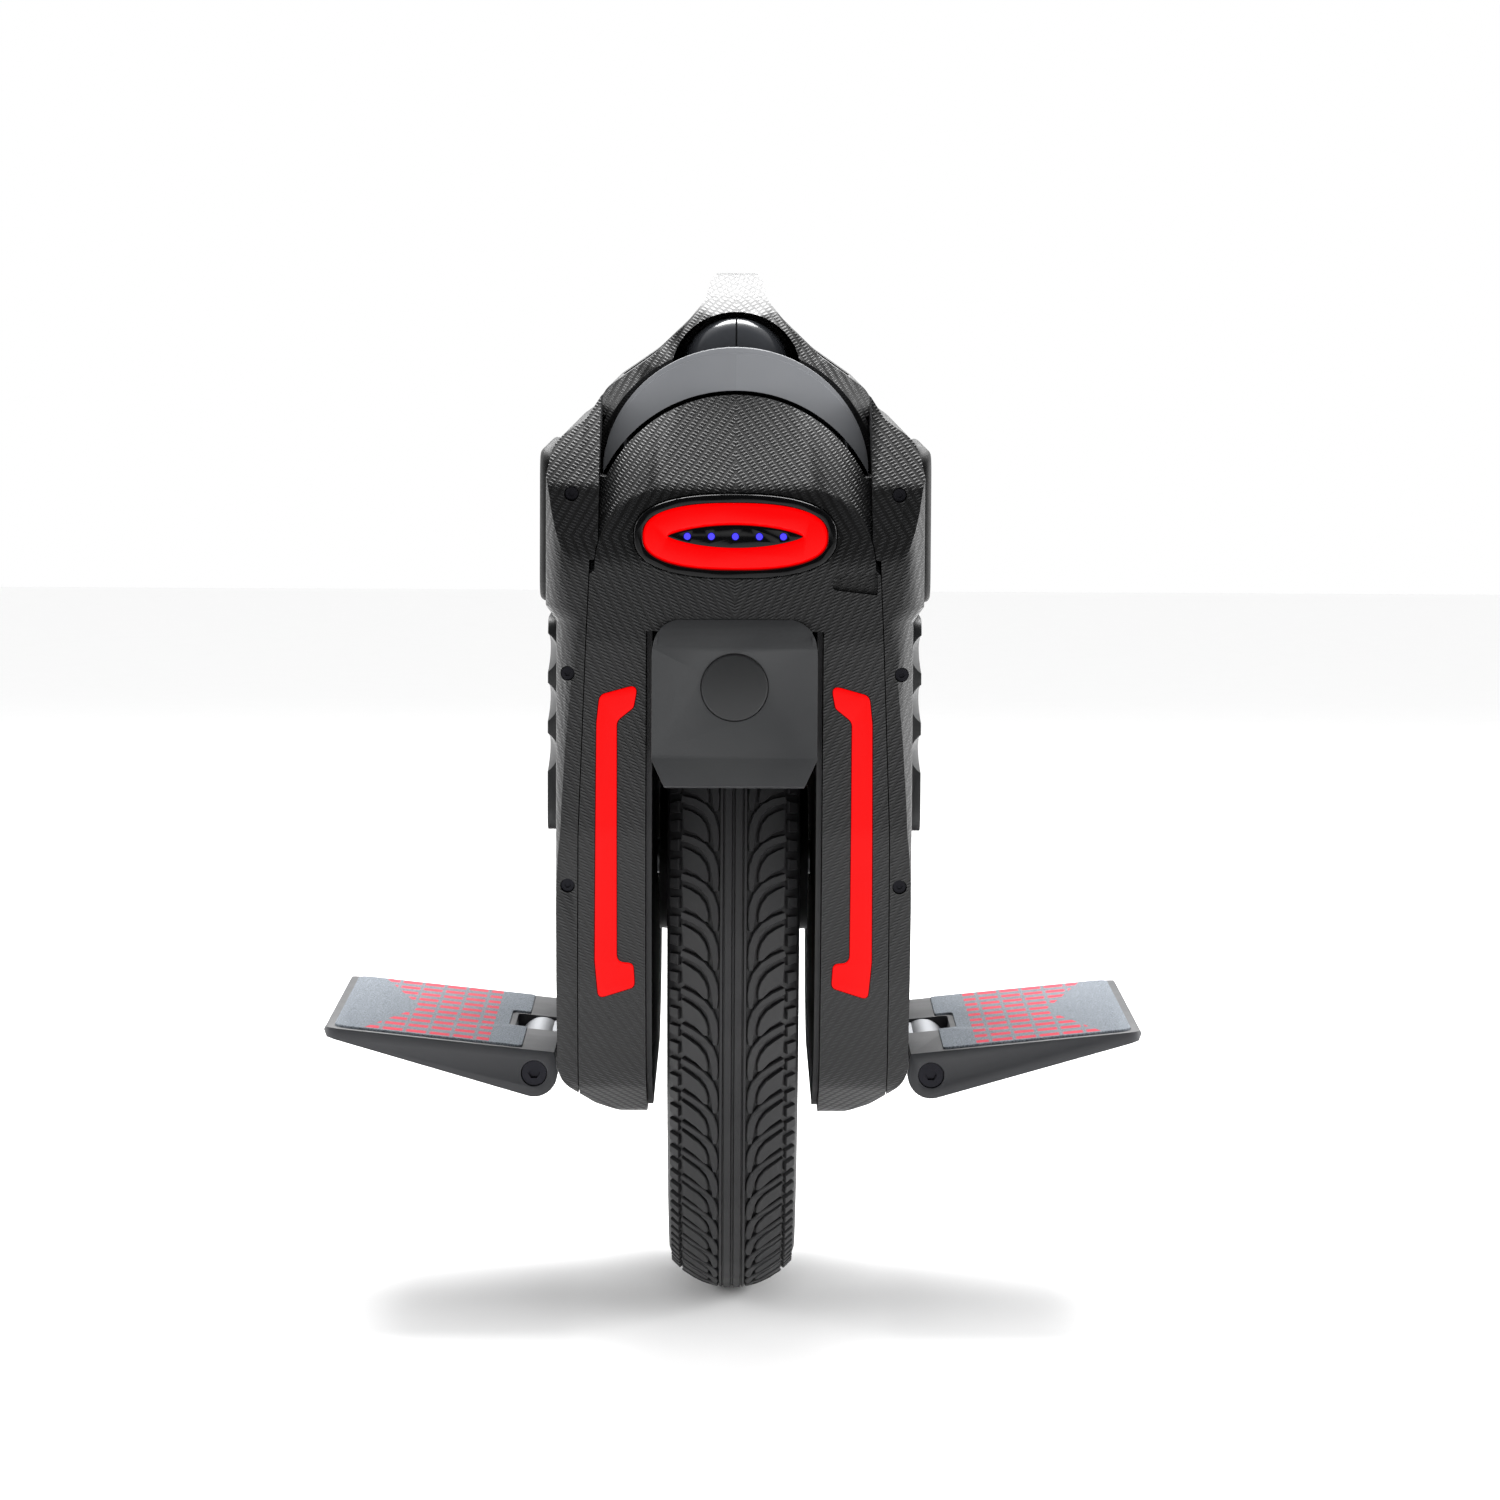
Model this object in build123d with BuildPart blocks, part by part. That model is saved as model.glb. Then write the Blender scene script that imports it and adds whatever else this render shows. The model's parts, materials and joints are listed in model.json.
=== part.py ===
"""Self-balancing electric unicycle: one hub-motor wheel between two folding pedals.

Frame: +Z up, +Y the way it travels, +X the rider's right. The origin is on the ground
under the axle. All lengths are in millimetres and all angles in degrees.
"""
from build123d import *
import os
from math import atan2, cos, degrees, radians, sin

os.makedirs("parts", exist_ok=True)

# ---- driving dimensions ------------------------------------------------------------
TYRE_R = 216.5              # 16 x 2.5 tyre, ISO 64-305
TYRE_HALF_W = 32.0
AXLE_Z = TYRE_R
AXLE_R = 8.5                # 17 mm bearing seat
RIM_BED_R = 150.0
MOTOR_CAN_R = 127.0
MOTOR_HALF_W = 24.0

WELL_R = 229.0              # inside of the wheel well's arch
WELL_HALF_W = 38.3
LINER_T = 2.5

SKIN = 3.0                  # moulded shell thickness
LEG_IN = 41.2               # inner edge of the shell legs beside the wheel
TOP_Z = 509.5
BOTTOM_Z = 104.0
BODY_HALF_L = 226.0
COLLAR_Y = 137.0            # where the top cover meets the front and rear covers
COLLAR_GAP = 0.3
LEG_SPLIT_Y = 118.0         # where the end covers' legs meet the side shells, below
HANDLE_HALF_L = 62.0
HANDLE_UNDER_Z = 482.0
HANDLE_FLOOR_Z = 458.0

GRIP_FRONT_Y = -COLLAR_Y - COLLAR_GAP      # trolley grip, front and rear faces
GRIP_REAR_Y = -170.0
GRIP_HALF_W = 63.0
GRIP_BASE_Z = 415.0
GRIP_TOP_Z = 475.0
GRIP_UNDER_Z = 455.0
TROLLEY_X = 52.0
TROLLEY_Y = (GRIP_FRONT_Y + GRIP_REAR_Y) / 2

LIGHT_Z = 389.0
LIGHT_HALF_W = 47.0
LIGHT_HALF_H = 19.5

PEDAL_PIN = (97.0, 120.0)   # x, z of the right pedal's hinge pin
PEDAL_TILT = 6.0            # open pedals rise outwards
PEDAL_HALF_L = 100.0
PEDAL_REACH = 200.0         # x of the open pedal's outer edge
HANGER_HALF_L = 25.0
KNUCKLE_R = 11.0

# ---- working planes and axes -------------------------------------------------------
WHEEL_SECTION = Plane(origin=(0, 0, AXLE_Z), x_dir=(1, 0, 0), z_dir=(0, -1, 0))
WHEEL_AXIS = Axis((0, 0, AXLE_Z), (1, 0, 0))


def side_plane(x):
    """The plane facing +X at x, with local x = Y and local y = Z above the axle."""
    return Plane(origin=(x, 0, AXLE_Z), x_dir=(0, 1, 0), z_dir=(1, 0, 0))


def save(piece, name):
    """Label one finished sub-part and write its STEP file."""
    piece.label = name
    export_step(piece, f"parts/{name}.step")


def side_name(stem, side):
    """The node's name for the left (-1) or right (+1) side."""
    return f"{stem}_{'right' if side > 0 else 'left'}"


# ---- outlines of the body ----------------------------------------------------------
# Side view, front half as (y, z) with the radius of each corner.
SIDE_OUTLINE = [
    ((HANDLE_HALF_L, TOP_Z), 30), ((102, 499), 40), ((150, 475.5), 60), ((217, 411), 14),
    ((BODY_HALF_L, 378), 30), ((BODY_HALF_L, 340), 60), ((219, 250), 60), ((204, 180), 50),
    ((178, 128), 40), ((120, BOTTOM_Z), 60),
]
# Rear view, right half as (x, z) with the radius of each corner.
REAR_OUTLINE = [
    ((10, TOP_Z), 1.5), ((12.5, 506.5), 2), ((15, 497), 8), ((24, 486), 15), ((40, 470.5), 30),
    ((61.5, 455.5), 12), ((70, 442), 8), ((85, 431.5), 10), ((88, 416), 8), ((88, 356), 3),
    ((83, 349), 3), ((83, 128), 20), ((66, 111.5), 15), ((52, BOTTOM_Z), 12),
]


def mirrored_outline(half):
    """Both halves of an outline: points and corner radii, going once round."""
    right = [point for point, _ in half]
    radii = [radius for _, radius in half]
    left = [(-a, b) for a, b in reversed(right)]
    return right + left, radii + radii[::-1]


def outline_y(z):
    """Half-length of the body at height z, along its straight outline."""
    points = [point for point, _ in SIDE_OUTLINE]
    for (y0, z0), (y1, z1) in zip(points, points[1:]):
        if z1 <= z <= z0:
            return y0 + (y1 - y0) * (z0 - z) / (z0 - z1)
    return points[-1][0]


def prism(plane, half, inset, reach):
    """A mirrored outline, drawn in by inset, extruded by reach both ways."""
    points, radii = mirrored_outline(half)
    with BuildPart() as block:
        with BuildSketch(plane):
            with BuildLine():
                FilletPolyline(*points, radius=radii, close=True)
            make_face()
            if inset:
                offset(amount=-inset)
        extrude(amount=reach, both=True)
    return block.part


def arch_prism(inset):
    """The barrel of the front and rear covers: straight sides under a half-ellipse."""
    half_w = 66.0 - inset
    with BuildPart() as block:
        with BuildSketch(Plane.XZ):
            with Locations((0, GRIP_BASE_Z)):
                Ellipse(half_w, 60.7 - inset)
            with Locations((0, (GRIP_BASE_Z + 60) / 2)):
                Rectangle(180 - 2 * inset, GRIP_BASE_Z - 60)
        extrude(amount=300, both=True)
    return block.part


def body_block(inset):
    """The body's whole envelope, drawn in by inset."""
    with BuildPart() as block:
        add(prism(Plane.YZ, SIDE_OUTLINE, inset, 95))
        add(prism(Plane.XZ, REAR_OUTLINE, inset, 240), mode=Mode.INTERSECT)
    return block.part


OUTER = body_block(0)
INNER = body_block(SKIN)
ARCH_OUTER = arch_prism(0)
ARCH_INNER = arch_prism(SKIN)


def seam_prism():
    """The middle of the body between the two seams, which lean out towards the ground."""
    with BuildPart() as block:
        with BuildSketch(Plane.XZ):
            with BuildLine():
                points = [(66, 520), (66, 405), (69, 340), (72.5, 250), (73.5, 95)]
                Polyline(*points, *[(-x, z) for x, z in reversed(points)], close=True)
            make_face()
        extrude(amount=300, both=True)
    return block.part


MIDDLE = seam_prism()


def slab(x, y, z):
    """A box between the three (low, high) pairs, for cutting."""
    size = [high - low for low, high in (x, y, z)]
    centre = [(low + high) / 2 for low, high in (x, y, z)]
    return Pos(*centre) * Box(*size, mode=Mode.PRIVATE)


# ---- wheel -------------------------------------------------------------------------
with BuildPart() as tyre:
    with BuildSketch(WHEEL_SECTION):
        with BuildLine():
            Line((-13, 151), (-17, 151))
            Line((-17, 151), (-17, 161))
            ThreePointArc((-17, 161), (-30, 177), (-31.6, 190))
            ThreePointArc((-31.6, 190), (-31.9, 197), (-29, 204))
            ThreePointArc((-29, 204), (0, TYRE_R), (29, 204))
            ThreePointArc((29, 204), (31.9, 197), (31.6, 190))
            ThreePointArc((31.6, 190), (30, 177), (17, 161))
            Line((17, 161), (17, 151))
            Line((17, 151), (13, 151))
            Line((13, 151), (13, 162))
            ThreePointArc((13, 162), (26, 184), (17, 202))
            ThreePointArc((17, 202), (0, 208), (-17, 202))
            ThreePointArc((-17, 202), (-26, 184), (-13, 162))
            Line((-13, 162), (-13, 151))
        make_face()
    revolve(axis=WHEEL_AXIS)
save(tyre.part, "tyre")

TUBE_CENTRE_R = 184.0
with BuildPart() as inner_tube:
    with BuildSketch(WHEEL_SECTION):
        with Locations((0, TUBE_CENTRE_R)):
            Circle(19)
            Circle(17.5, mode=Mode.SUBTRACT)
    revolve(axis=WHEEL_AXIS)
save(inner_tube.part, "inner_tube")

COVER_SCREWS = 12
COVER_SCREW_R = 123.5
VALVE_R = 4.0
VALVE_X = 8.4               # between the rim's web and the tyre's bead
VALVE_RADIUS = 137.0        # of the valve stem from the axle
VALVE_TOP_R = 164.0
CAN_T = 7.0
with BuildPart() as wheel_rim:
    with BuildSketch(WHEEL_SECTION):
        with Locations((0, MOTOR_CAN_R - CAN_T / 2)):
            Rectangle(2 * MOTOR_HALF_W, CAN_T)
        with Locations((0, (MOTOR_CAN_R + RIM_BED_R) / 2 - 1)):
            Rectangle(8, RIM_BED_R - MOTOR_CAN_R)
        with Locations((0, RIM_BED_R - 1.5)):
            Rectangle(42, 3)
        with Locations((19.25, 154), (-19.25, 154)):
            Rectangle(3.5, 12)
    revolve(axis=WHEEL_AXIS)
    with Locations(Location((VALVE_X, 0, AXLE_Z + RIM_BED_R - 2))):
        Cylinder(VALVE_R + 0.2, 12, mode=Mode.SUBTRACT)
    for face_x in (MOTOR_HALF_W, -MOTOR_HALF_W):
        with BuildSketch(side_plane(face_x)):
            with PolarLocations(COVER_SCREW_R, COVER_SCREWS):
                Circle(2)
        extrude(amount=-10 if face_x > 0 else 10, mode=Mode.SUBTRACT)
save(wheel_rim.part, "wheel_rim")

BOSS_R = 37.0
BOSS_END = 37.0
BEARING_R = 17.5
COVER_T = 4.0


def motor_cover(side):
    """The end cover of the hub motor, with the boss that holds its bearing."""
    with BuildPart() as cover:
        with BuildSketch(side_plane(side * MOTOR_HALF_W)):
            Circle(MOTOR_CAN_R)
        extrude(amount=side * COVER_T)
        with BuildSketch(side_plane(side * MOTOR_HALF_W)):
            Circle(BOSS_R)
        extrude(amount=side * (BOSS_END - MOTOR_HALF_W), taper=4)
        with BuildSketch(side_plane(side * (BOSS_END - 1.5))):
            Circle(BEARING_R)
        extrude(amount=-side * 30, mode=Mode.SUBTRACT)
        with BuildSketch(side_plane(side * BOSS_END)):
            Circle(BEARING_R - 2.5)
        extrude(amount=-side * 2, mode=Mode.SUBTRACT)
        with BuildSketch(side_plane(side * MOTOR_HALF_W)):
            with PolarLocations(COVER_SCREW_R, COVER_SCREWS):
                Circle(2.1)
        extrude(amount=side * COVER_T, mode=Mode.SUBTRACT)
        with BuildSketch(side_plane(side * (MOTOR_HALF_W + COVER_T))):
            with PolarLocations(80, 16):
                SlotOverall(52, 7)
        extrude(amount=-side * 1.5, mode=Mode.SUBTRACT)
    return cover.part


for side in (1, -1):
    save(motor_cover(side), side_name("motor_cover", side))

with BuildPart() as motor_cover_screws:
    for side in (1, -1):
        face_x = side * (MOTOR_HALF_W + COVER_T)
        with BuildSketch(side_plane(face_x)):
            with PolarLocations(COVER_SCREW_R, COVER_SCREWS):
                Circle(3.4)
        extrude(amount=side * 2.4)
        with BuildSketch(side_plane(face_x)):
            with PolarLocations(COVER_SCREW_R, COVER_SCREWS):
                Circle(1.95)
        extrude(amount=-side * 12)
        with BuildSketch(side_plane(face_x + side * 2.4)):
            with PolarLocations(COVER_SCREW_R, COVER_SCREWS):
                RegularPolygon(1.6, 6)
        extrude(amount=-side * 1.5, mode=Mode.SUBTRACT)
save(motor_cover_screws.part, "motor_cover_screws")

MAGNETS = 40
MAGNET_IN_R = 117.0
with BuildPart() as rotor_magnets:
    with BuildSketch(side_plane(-19)):
        with PolarLocations((MAGNET_IN_R + MOTOR_CAN_R - CAN_T) / 2, MAGNETS):
            Rectangle(MOTOR_CAN_R - CAN_T - MAGNET_IN_R - 0.6, 15)
    extrude(amount=38)
save(rotor_magnets.part, "rotor_magnets")

with BuildPart() as valve_stem:
    with Locations(Location((VALVE_X, 0, AXLE_Z + (VALVE_TOP_R + VALVE_RADIUS) / 2))):
        Cylinder(VALVE_R, VALVE_TOP_R - VALVE_RADIUS)
    with BuildSketch(Plane(origin=(VALVE_X, 0, AXLE_Z + VALVE_RADIUS), z_dir=(1, 0, 0))):
        Circle(VALVE_R)
    extrude(amount=23 - VALVE_X)
    with BuildSketch(Plane(origin=(23, 0, AXLE_Z + VALVE_RADIUS), z_dir=(1, 0, 0))):
        Circle(VALVE_R + 0.8)
    extrude(amount=9)
save(valve_stem.part, "valve_stem")


with BuildPart() as wheel_bearings:
    for side in (1, -1):
        with BuildSketch(side_plane(side * (BOSS_END - 1.5))):
            Circle(BEARING_R)
            Circle(AXLE_R + 0.03, mode=Mode.SUBTRACT)
        extrude(amount=-side * 10)
save(wheel_bearings.part, "wheel_bearings")

# ---- fixed axle, stator and hangers ------------------------------------------------
HANGER_IN = 44.0
HANGER_OUT = 58.0
AXLE_END = 70.0
with BuildPart() as axle:
    with BuildSketch(side_plane(-AXLE_END)):
        Circle(AXLE_R)
    extrude(amount=2 * AXLE_END)
    with BuildSketch(side_plane(BOSS_END + 2), side_plane(-AXLE_END)):
        with Locations((0, 13), (0, -13)):
            Rectangle(20, 14)
    extrude(amount=AXLE_END - BOSS_END - 2, mode=Mode.SUBTRACT)
save(axle.part, "axle")

STATOR_R = 115.8
SLOTS = 36
with BuildPart() as stator_core:
    with BuildSketch(side_plane(-16)):
        Circle(STATOR_R)
        Circle(84, mode=Mode.SUBTRACT)
        with PolarLocations(104.5, SLOTS):
            Rectangle(16, 9.5, mode=Mode.SUBTRACT)
        Circle(28)
        Circle(AXLE_R, mode=Mode.SUBTRACT)
        with PolarLocations(57, 5):
            Rectangle(62, 14)
    extrude(amount=32)
save(stator_core.part, "stator_core")

with BuildPart() as stator_windings:
    with BuildSketch(side_plane(-20)):
        with PolarLocations(104, SLOTS):
            Rectangle(13, 8.6)
    extrude(amount=40)
save(stator_windings.part, "stator_windings")

PIN_X, PIN_Z = PEDAL_PIN


def hanger(side):
    """Forged arm from the axle down to the pedal's hinge, with its knuckle."""
    with BuildPart() as arm:
        with BuildSketch(side_plane(side * HANGER_IN)):
            Circle(31)
            with Locations((0, -50)):
                Rectangle(2 * HANGER_HALF_L, 100)
        extrude(amount=side * (HANGER_OUT - HANGER_IN))
        with BuildSketch(Plane.XZ):
            with BuildLine():
                points = [(HANGER_IN, 116), (70, 116), (PIN_X, PIN_Z - KNUCKLE_R), (PIN_X, PIN_Z + 8),
                          (80, 131), (62, 146), (HANGER_IN, 146)]
                Polyline(*[(side * x, z) for x, z in points], close=True)
            make_face()
            with Locations((side * PIN_X, PIN_Z)):
                Circle(KNUCKLE_R)
        extrude(amount=HANGER_HALF_L - 0.4, both=True)
        with BuildSketch(Plane.XZ):
            with Locations((side * PIN_X, PIN_Z)):
                Circle(4.05)
        extrude(amount=HANGER_HALF_L, both=True, mode=Mode.SUBTRACT)
        with BuildSketch(side_plane(side * HANGER_IN)):
            Circle(AXLE_R + 0.05)
        extrude(amount=side * 20, mode=Mode.SUBTRACT)
        with BuildSketch(side_plane(side * HANGER_OUT)):
            with Locations((0, -50), (0, -72)):
                Rectangle(28, 14)
        extrude(amount=-side * 7, mode=Mode.SUBTRACT)
    return arm.part


for side in (1, -1):
    save(hanger(side), side_name("pedal_hanger", side))

with BuildPart() as axle_nuts:
    for side in (1, -1):
        with BuildSketch(side_plane(side * HANGER_OUT)):
            RegularPolygon(14, 6)
            Circle(AXLE_R + 0.02, mode=Mode.SUBTRACT)
        extrude(amount=side * 9)
save(axle_nuts.part, "axle_nuts")

# ---- wheel well liner --------------------------------------------------------------
LINER_OUT = WELL_HALF_W + LINER_T
LINER_TOP = 345.0           # of the liner's side walls outside the arch
ARCH_END_Z = 290.0          # where the arch over the tyre stops, behind the mudguards

with BuildPart() as wheel_liner:
    add(prism(Plane.YZ, SIDE_OUTLINE, SKIN + 0.3, LINER_OUT))
    with BuildSketch(side_plane(-LINER_OUT)):
        Circle(WELL_R + LINER_T)
        with Locations((0, LINER_TOP - AXLE_Z - 200)):
            Rectangle(600, 400)
    extrude(amount=2 * LINER_OUT, mode=Mode.INTERSECT)
    with BuildSketch(side_plane(-WELL_HALF_W)):
        with Locations((0, (LINER_TOP + ARCH_END_Z) / 2 - AXLE_Z)):
            Rectangle(600, LINER_TOP - ARCH_END_Z + 1)
        Circle(WELL_R + LINER_T, mode=Mode.SUBTRACT)
    extrude(amount=2 * WELL_HALF_W, mode=Mode.SUBTRACT)
    with BuildSketch(side_plane(-WELL_HALF_W)):
        Circle(WELL_R)
        with Locations((0, ARCH_END_Z - AXLE_Z - 200)):
            Rectangle(600, 400)
    extrude(amount=2 * WELL_HALF_W, mode=Mode.SUBTRACT)
    with BuildSketch(side_plane(-LINER_OUT)):
        Circle(14)
    extrude(amount=2 * LINER_OUT, mode=Mode.SUBTRACT)
save(wheel_liner.part, "wheel_liner")

# ---- lights: shapes shared by the covers and the lamps -----------------------------
STRIP = [(62.6, 315), (44.8, 320), (46.8, 309.3), (54.6, 303), (54.6, 188), (46.8, 187.5),
         (46.2, 176), (63.3, 170.2), (64.9, 189), (64, 302)]


def strip_prism(side, end, grow):
    """The outline of one leg's light strip, extruded through the cover."""
    with BuildPart() as block:
        with BuildSketch(Plane.XZ.offset(-end * 195)):
            with BuildLine():
                Polyline(*[(side * x, z) for x, z in STRIP], close=True)
            make_face()
            if grow:
                offset(amount=grow, kind=Kind.INTERSECTION)
        extrude(amount=-end * 45)
    return block.part


def oval_prism(end, half_w, half_h, low, high):
    """An oval on the lamp's axis, from y = low to y = high on one end of the body."""
    with BuildPart() as block:
        with BuildSketch(Plane.XZ.offset(-end * low)):
            with Locations((0, LIGHT_Z)):
                Ellipse(half_w, half_h)
        extrude(amount=-end * (high - low))
    return block.part


# ---- covers ------------------------------------------------------------------------
def grip_under(radius_drop):
    """Radius and centre height of the arc under the trolley grip, lowered by radius_drop."""
    rise = GRIP_UNDER_Z - GRIP_BASE_Z
    radius = (GRIP_HALF_W ** 2 + rise ** 2) / (2 * rise)
    return radius - radius_drop, GRIP_UNDER_Z - radius


def end_cover(end):
    """The rear (-1) or front (+1) cover: a barrel top, the lamp's face and two legs."""
    collar = COLLAR_Y + COLLAR_GAP
    with BuildPart() as cover:
        add(OUTER)
        add(ARCH_OUTER, mode=Mode.INTERSECT)
        with BuildPart(mode=Mode.PRIVATE) as inside:
            add(INNER)
            add(ARCH_INNER, mode=Mode.INTERSECT)
        add(inside.part, mode=Mode.SUBTRACT)
        add(MIDDLE, mode=Mode.INTERSECT)
        keep_y = sorted((end * LEG_SPLIT_Y, end * 260))
        add(slab((-90, 90), keep_y, (90, 520)), mode=Mode.INTERSECT)
        cut_y = sorted((end * 100, end * collar))
        add(slab((-90, 90), cut_y, (250, 520)), mode=Mode.SUBTRACT)
        add(slab((-LEG_IN, LEG_IN), sorted((0, end * 260)), (90, 345)), mode=Mode.SUBTRACT)
        add(oval_prism(end, LIGHT_HALF_W + 0.1, LIGHT_HALF_H + 0.1, 205, 240), mode=Mode.SUBTRACT)
        for side in (1, -1):
            add(strip_prism(side, end, 0.15), mode=Mode.SUBTRACT)
        if end < 0:
            radius, centre_z = grip_under(0.5)
            with BuildSketch(Plane.XZ.offset(245)):
                with Locations((0, centre_z)):
                    Circle(radius + 60)
                    Circle(radius, mode=Mode.SUBTRACT)
                with Locations((0, GRIP_BASE_Z - 100)):
                    Rectangle(400, 200, mode=Mode.SUBTRACT)
            extrude(amount=collar - 1 - 245, mode=Mode.SUBTRACT)
            with BuildPart(mode=Mode.PRIVATE) as brow:
                with BuildSketch(Plane.XZ.offset(245)):
                    with Locations((0, centre_z)):
                        Circle(radius)
                        Circle(radius - SKIN, mode=Mode.SUBTRACT)
                    with Locations((0, GRIP_BASE_Z - 104)):
                        Rectangle(400, 200, mode=Mode.SUBTRACT)
                extrude(amount=collar - 245)
                add(OUTER, mode=Mode.INTERSECT)
            add(brow.part)
            with Locations(*[Location((side * TROLLEY_X, TROLLEY_Y, 430)) for side in (1, -1)]):
                Cylinder(6.4, 40, mode=Mode.SUBTRACT)
    return cover.part


save(end_cover(-1), "rear_cover")
save(end_cover(1), "front_cover")

BUTTON_R = 8.0
SLOPE_Y = 118.0
SLOPE_Z = 499 - (SLOPE_Y - 102) * 23.5 / 48
SLOPE = degrees(atan2(23.5, 48))
BUTTON_AXIS = (0, sin(radians(SLOPE)), cos(radians(SLOPE)))
BUTTON_PLANE = Plane(origin=(0, SLOPE_Y, SLOPE_Z), x_dir=(1, 0, 0), z_dir=BUTTON_AXIS)
DOME_HALF_W = 28.8
DOME_BASE_Z = 464.0
DOME_H = 25.5


def dome_prism(grow, low, high):
    """The arch under the rear end of the handle, from y = low to y = high."""
    with BuildPart() as block:
        with BuildSketch(Plane.XZ.offset(-high)):
            with Locations((0, DOME_BASE_Z)):
                Ellipse(DOME_HALF_W + grow, DOME_H + grow)
            with Locations((0, DOME_BASE_Z - 50 - grow)):
                Rectangle(200, 100, mode=Mode.SUBTRACT)
        extrude(amount=high - low)
    return block.part


with BuildPart() as top_cover:
    add(OUTER)
    add(INNER, mode=Mode.SUBTRACT)
    for low, high in ((HANDLE_UNDER_Z, TOP_Z + 1), (HANDLE_FLOOR_Z - SKIN, HANDLE_FLOOR_Z)):
        with BuildPart(mode=Mode.PRIVATE) as filling:
            add(OUTER)
            add(slab((-90, 90), (-HANDLE_HALF_L, HANDLE_HALF_L), (low, high)), mode=Mode.INTERSECT)
        add(filling.part)
    for low in (-HANDLE_HALF_L, HANDLE_HALF_L - SKIN):
        with BuildPart(mode=Mode.PRIVATE) as filling:
            add(OUTER)
            add(slab((-90, 90), (low, low + SKIN), (HANDLE_FLOOR_Z - SKIN, TOP_Z)), mode=Mode.INTERSECT)
        add(filling.part)
    add(MIDDLE, mode=Mode.INTERSECT)
    add(slab((-90, 90), (-COLLAR_Y, COLLAR_Y), (442, 520)), mode=Mode.INTERSECT)
    with BuildPart(mode=Mode.PRIVATE) as bulkhead:
        add(OUTER)
        add(MIDDLE, mode=Mode.INTERSECT)
        add(slab((-90, 90), (-COLLAR_Y, SKIN - COLLAR_Y), (405, 520)), mode=Mode.INTERSECT)
    add(bulkhead.part)
    add(slab((-90, 90), (-HANDLE_HALF_L + SKIN, HANDLE_HALF_L - SKIN), (HANDLE_FLOOR_Z, HANDLE_UNDER_Z)),
        mode=Mode.SUBTRACT)
    add(dome_prism(0.15, -150, -86), mode=Mode.SUBTRACT)
    with BuildSketch(BUTTON_PLANE.offset(10)):
        Circle(BUTTON_R + 0.2)
    extrude(amount=-25, mode=Mode.SUBTRACT)
    with BuildSketch(Plane.XY.offset(HANDLE_UNDER_Z)):
        Circle(6.1)
    extrude(amount=7, mode=Mode.SUBTRACT)
save(top_cover.part, "top_cover")

with BuildPart() as handle_dome:
    add(dome_prism(0, -130, -88))
    with BuildSketch(Plane.XZ.offset(88)):
        with Locations((0, DOME_BASE_Z)):
            Ellipse(DOME_HALF_W - 2.5, DOME_H - 2.5)
    extrude(amount=38, mode=Mode.SUBTRACT)
save(handle_dome.part, "handle_dome")

FLAP_Y = (-178.0, -148.0)
FLAP_Z = (358.0, 386.0)
FLAP_HINGE_R = 1.4          # rounded edge that the charging flap turns on
FLAP_HINGE = (88 - FLAP_HINGE_R, FLAP_Y[1] - FLAP_HINGE_R)
SCREW_SPOTS = [(76.0, 408.0), (77.5, 325.0), (77.5, 225.0)]
SCREW_R = 3.0
SCREW_DEPTH = 3.0


def side_shell(side):
    """One side of the body: its flank, its bottom, and the corners round to the seams."""
    with BuildPart() as shell:
        add(OUTER)
        add(INNER, mode=Mode.SUBTRACT)
        with BuildPart(mode=Mode.PRIVATE) as middle:
            add(MIDDLE)
            add(slab((-90, 90), (0.2 - LEG_SPLIT_Y, LEG_SPLIT_Y - 0.2), (90, 300)), mode=Mode.SUBTRACT)
        add(middle.part, mode=Mode.SUBTRACT)
        low_x, high_x = sorted((side * LEG_IN, side * 100))
        add(slab((low_x, high_x), (-240, 240), (90, 460)), mode=Mode.INTERSECT)
        slot_x = sorted((side * 62, side * 120))
        add(slab(slot_x, (-HANGER_HALF_L - 2, HANGER_HALF_L + 2), (95, 150)), mode=Mode.SUBTRACT)
        for end in (1, -1):
            for x, z in SCREW_SPOTS:
                y = end * outline_y(z)
                with BuildSketch(Plane.XZ.offset(-y - end * 5)):
                    with Locations((side * x, z)):
                        Circle(SCREW_R + 0.4)
                extrude(amount=end * 15, mode=Mode.SUBTRACT)
        if side > 0:
            gap = 0.3
            add(slab((80, 95), (FLAP_Y[0] - gap, FLAP_Y[1] + gap), (FLAP_Z[0] - gap, FLAP_Z[1] + gap)),
                mode=Mode.SUBTRACT)
    return shell.part


for side in (1, -1):
    save(side_shell(side), side_name("side_shell", side))

with BuildPart() as shell_screws:
    for side in (1, -1):
        for end in (1, -1):
            for x, z in SCREW_SPOTS:
                y = end * (outline_y(z) - SCREW_DEPTH)
                with BuildSketch(Plane.XZ.offset(-y)):
                    with Locations((side * x, z)):
                        Circle(SCREW_R)
                extrude(amount=end * 3)
                with BuildSketch(Plane.XZ.offset(-y + end * 3)):
                    with Locations((side * x, z)):
                        Circle(1.6)
                extrude(amount=end * 9)
                with BuildSketch(Plane.XZ.offset(-y)):
                    with Locations((side * x, z)):
                        RegularPolygon(1.5, 6)
                extrude(amount=end * 1.6, mode=Mode.SUBTRACT)
save(shell_screws.part, "shell_screws")

# ---- trims on the flanks -----------------------------------------------------------
BUMPER_Z = (244.0, 346.0)
BUMPER_HALF_L = 150.0
SCOOPS_Z = (281.9, 305.9, 329.5)
SCOOP_R = 11.0
SCOOP_DEPTH = 4.8           # at the bumper's end, running out to nothing
SCOOP_LENGTH = 42.0


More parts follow.
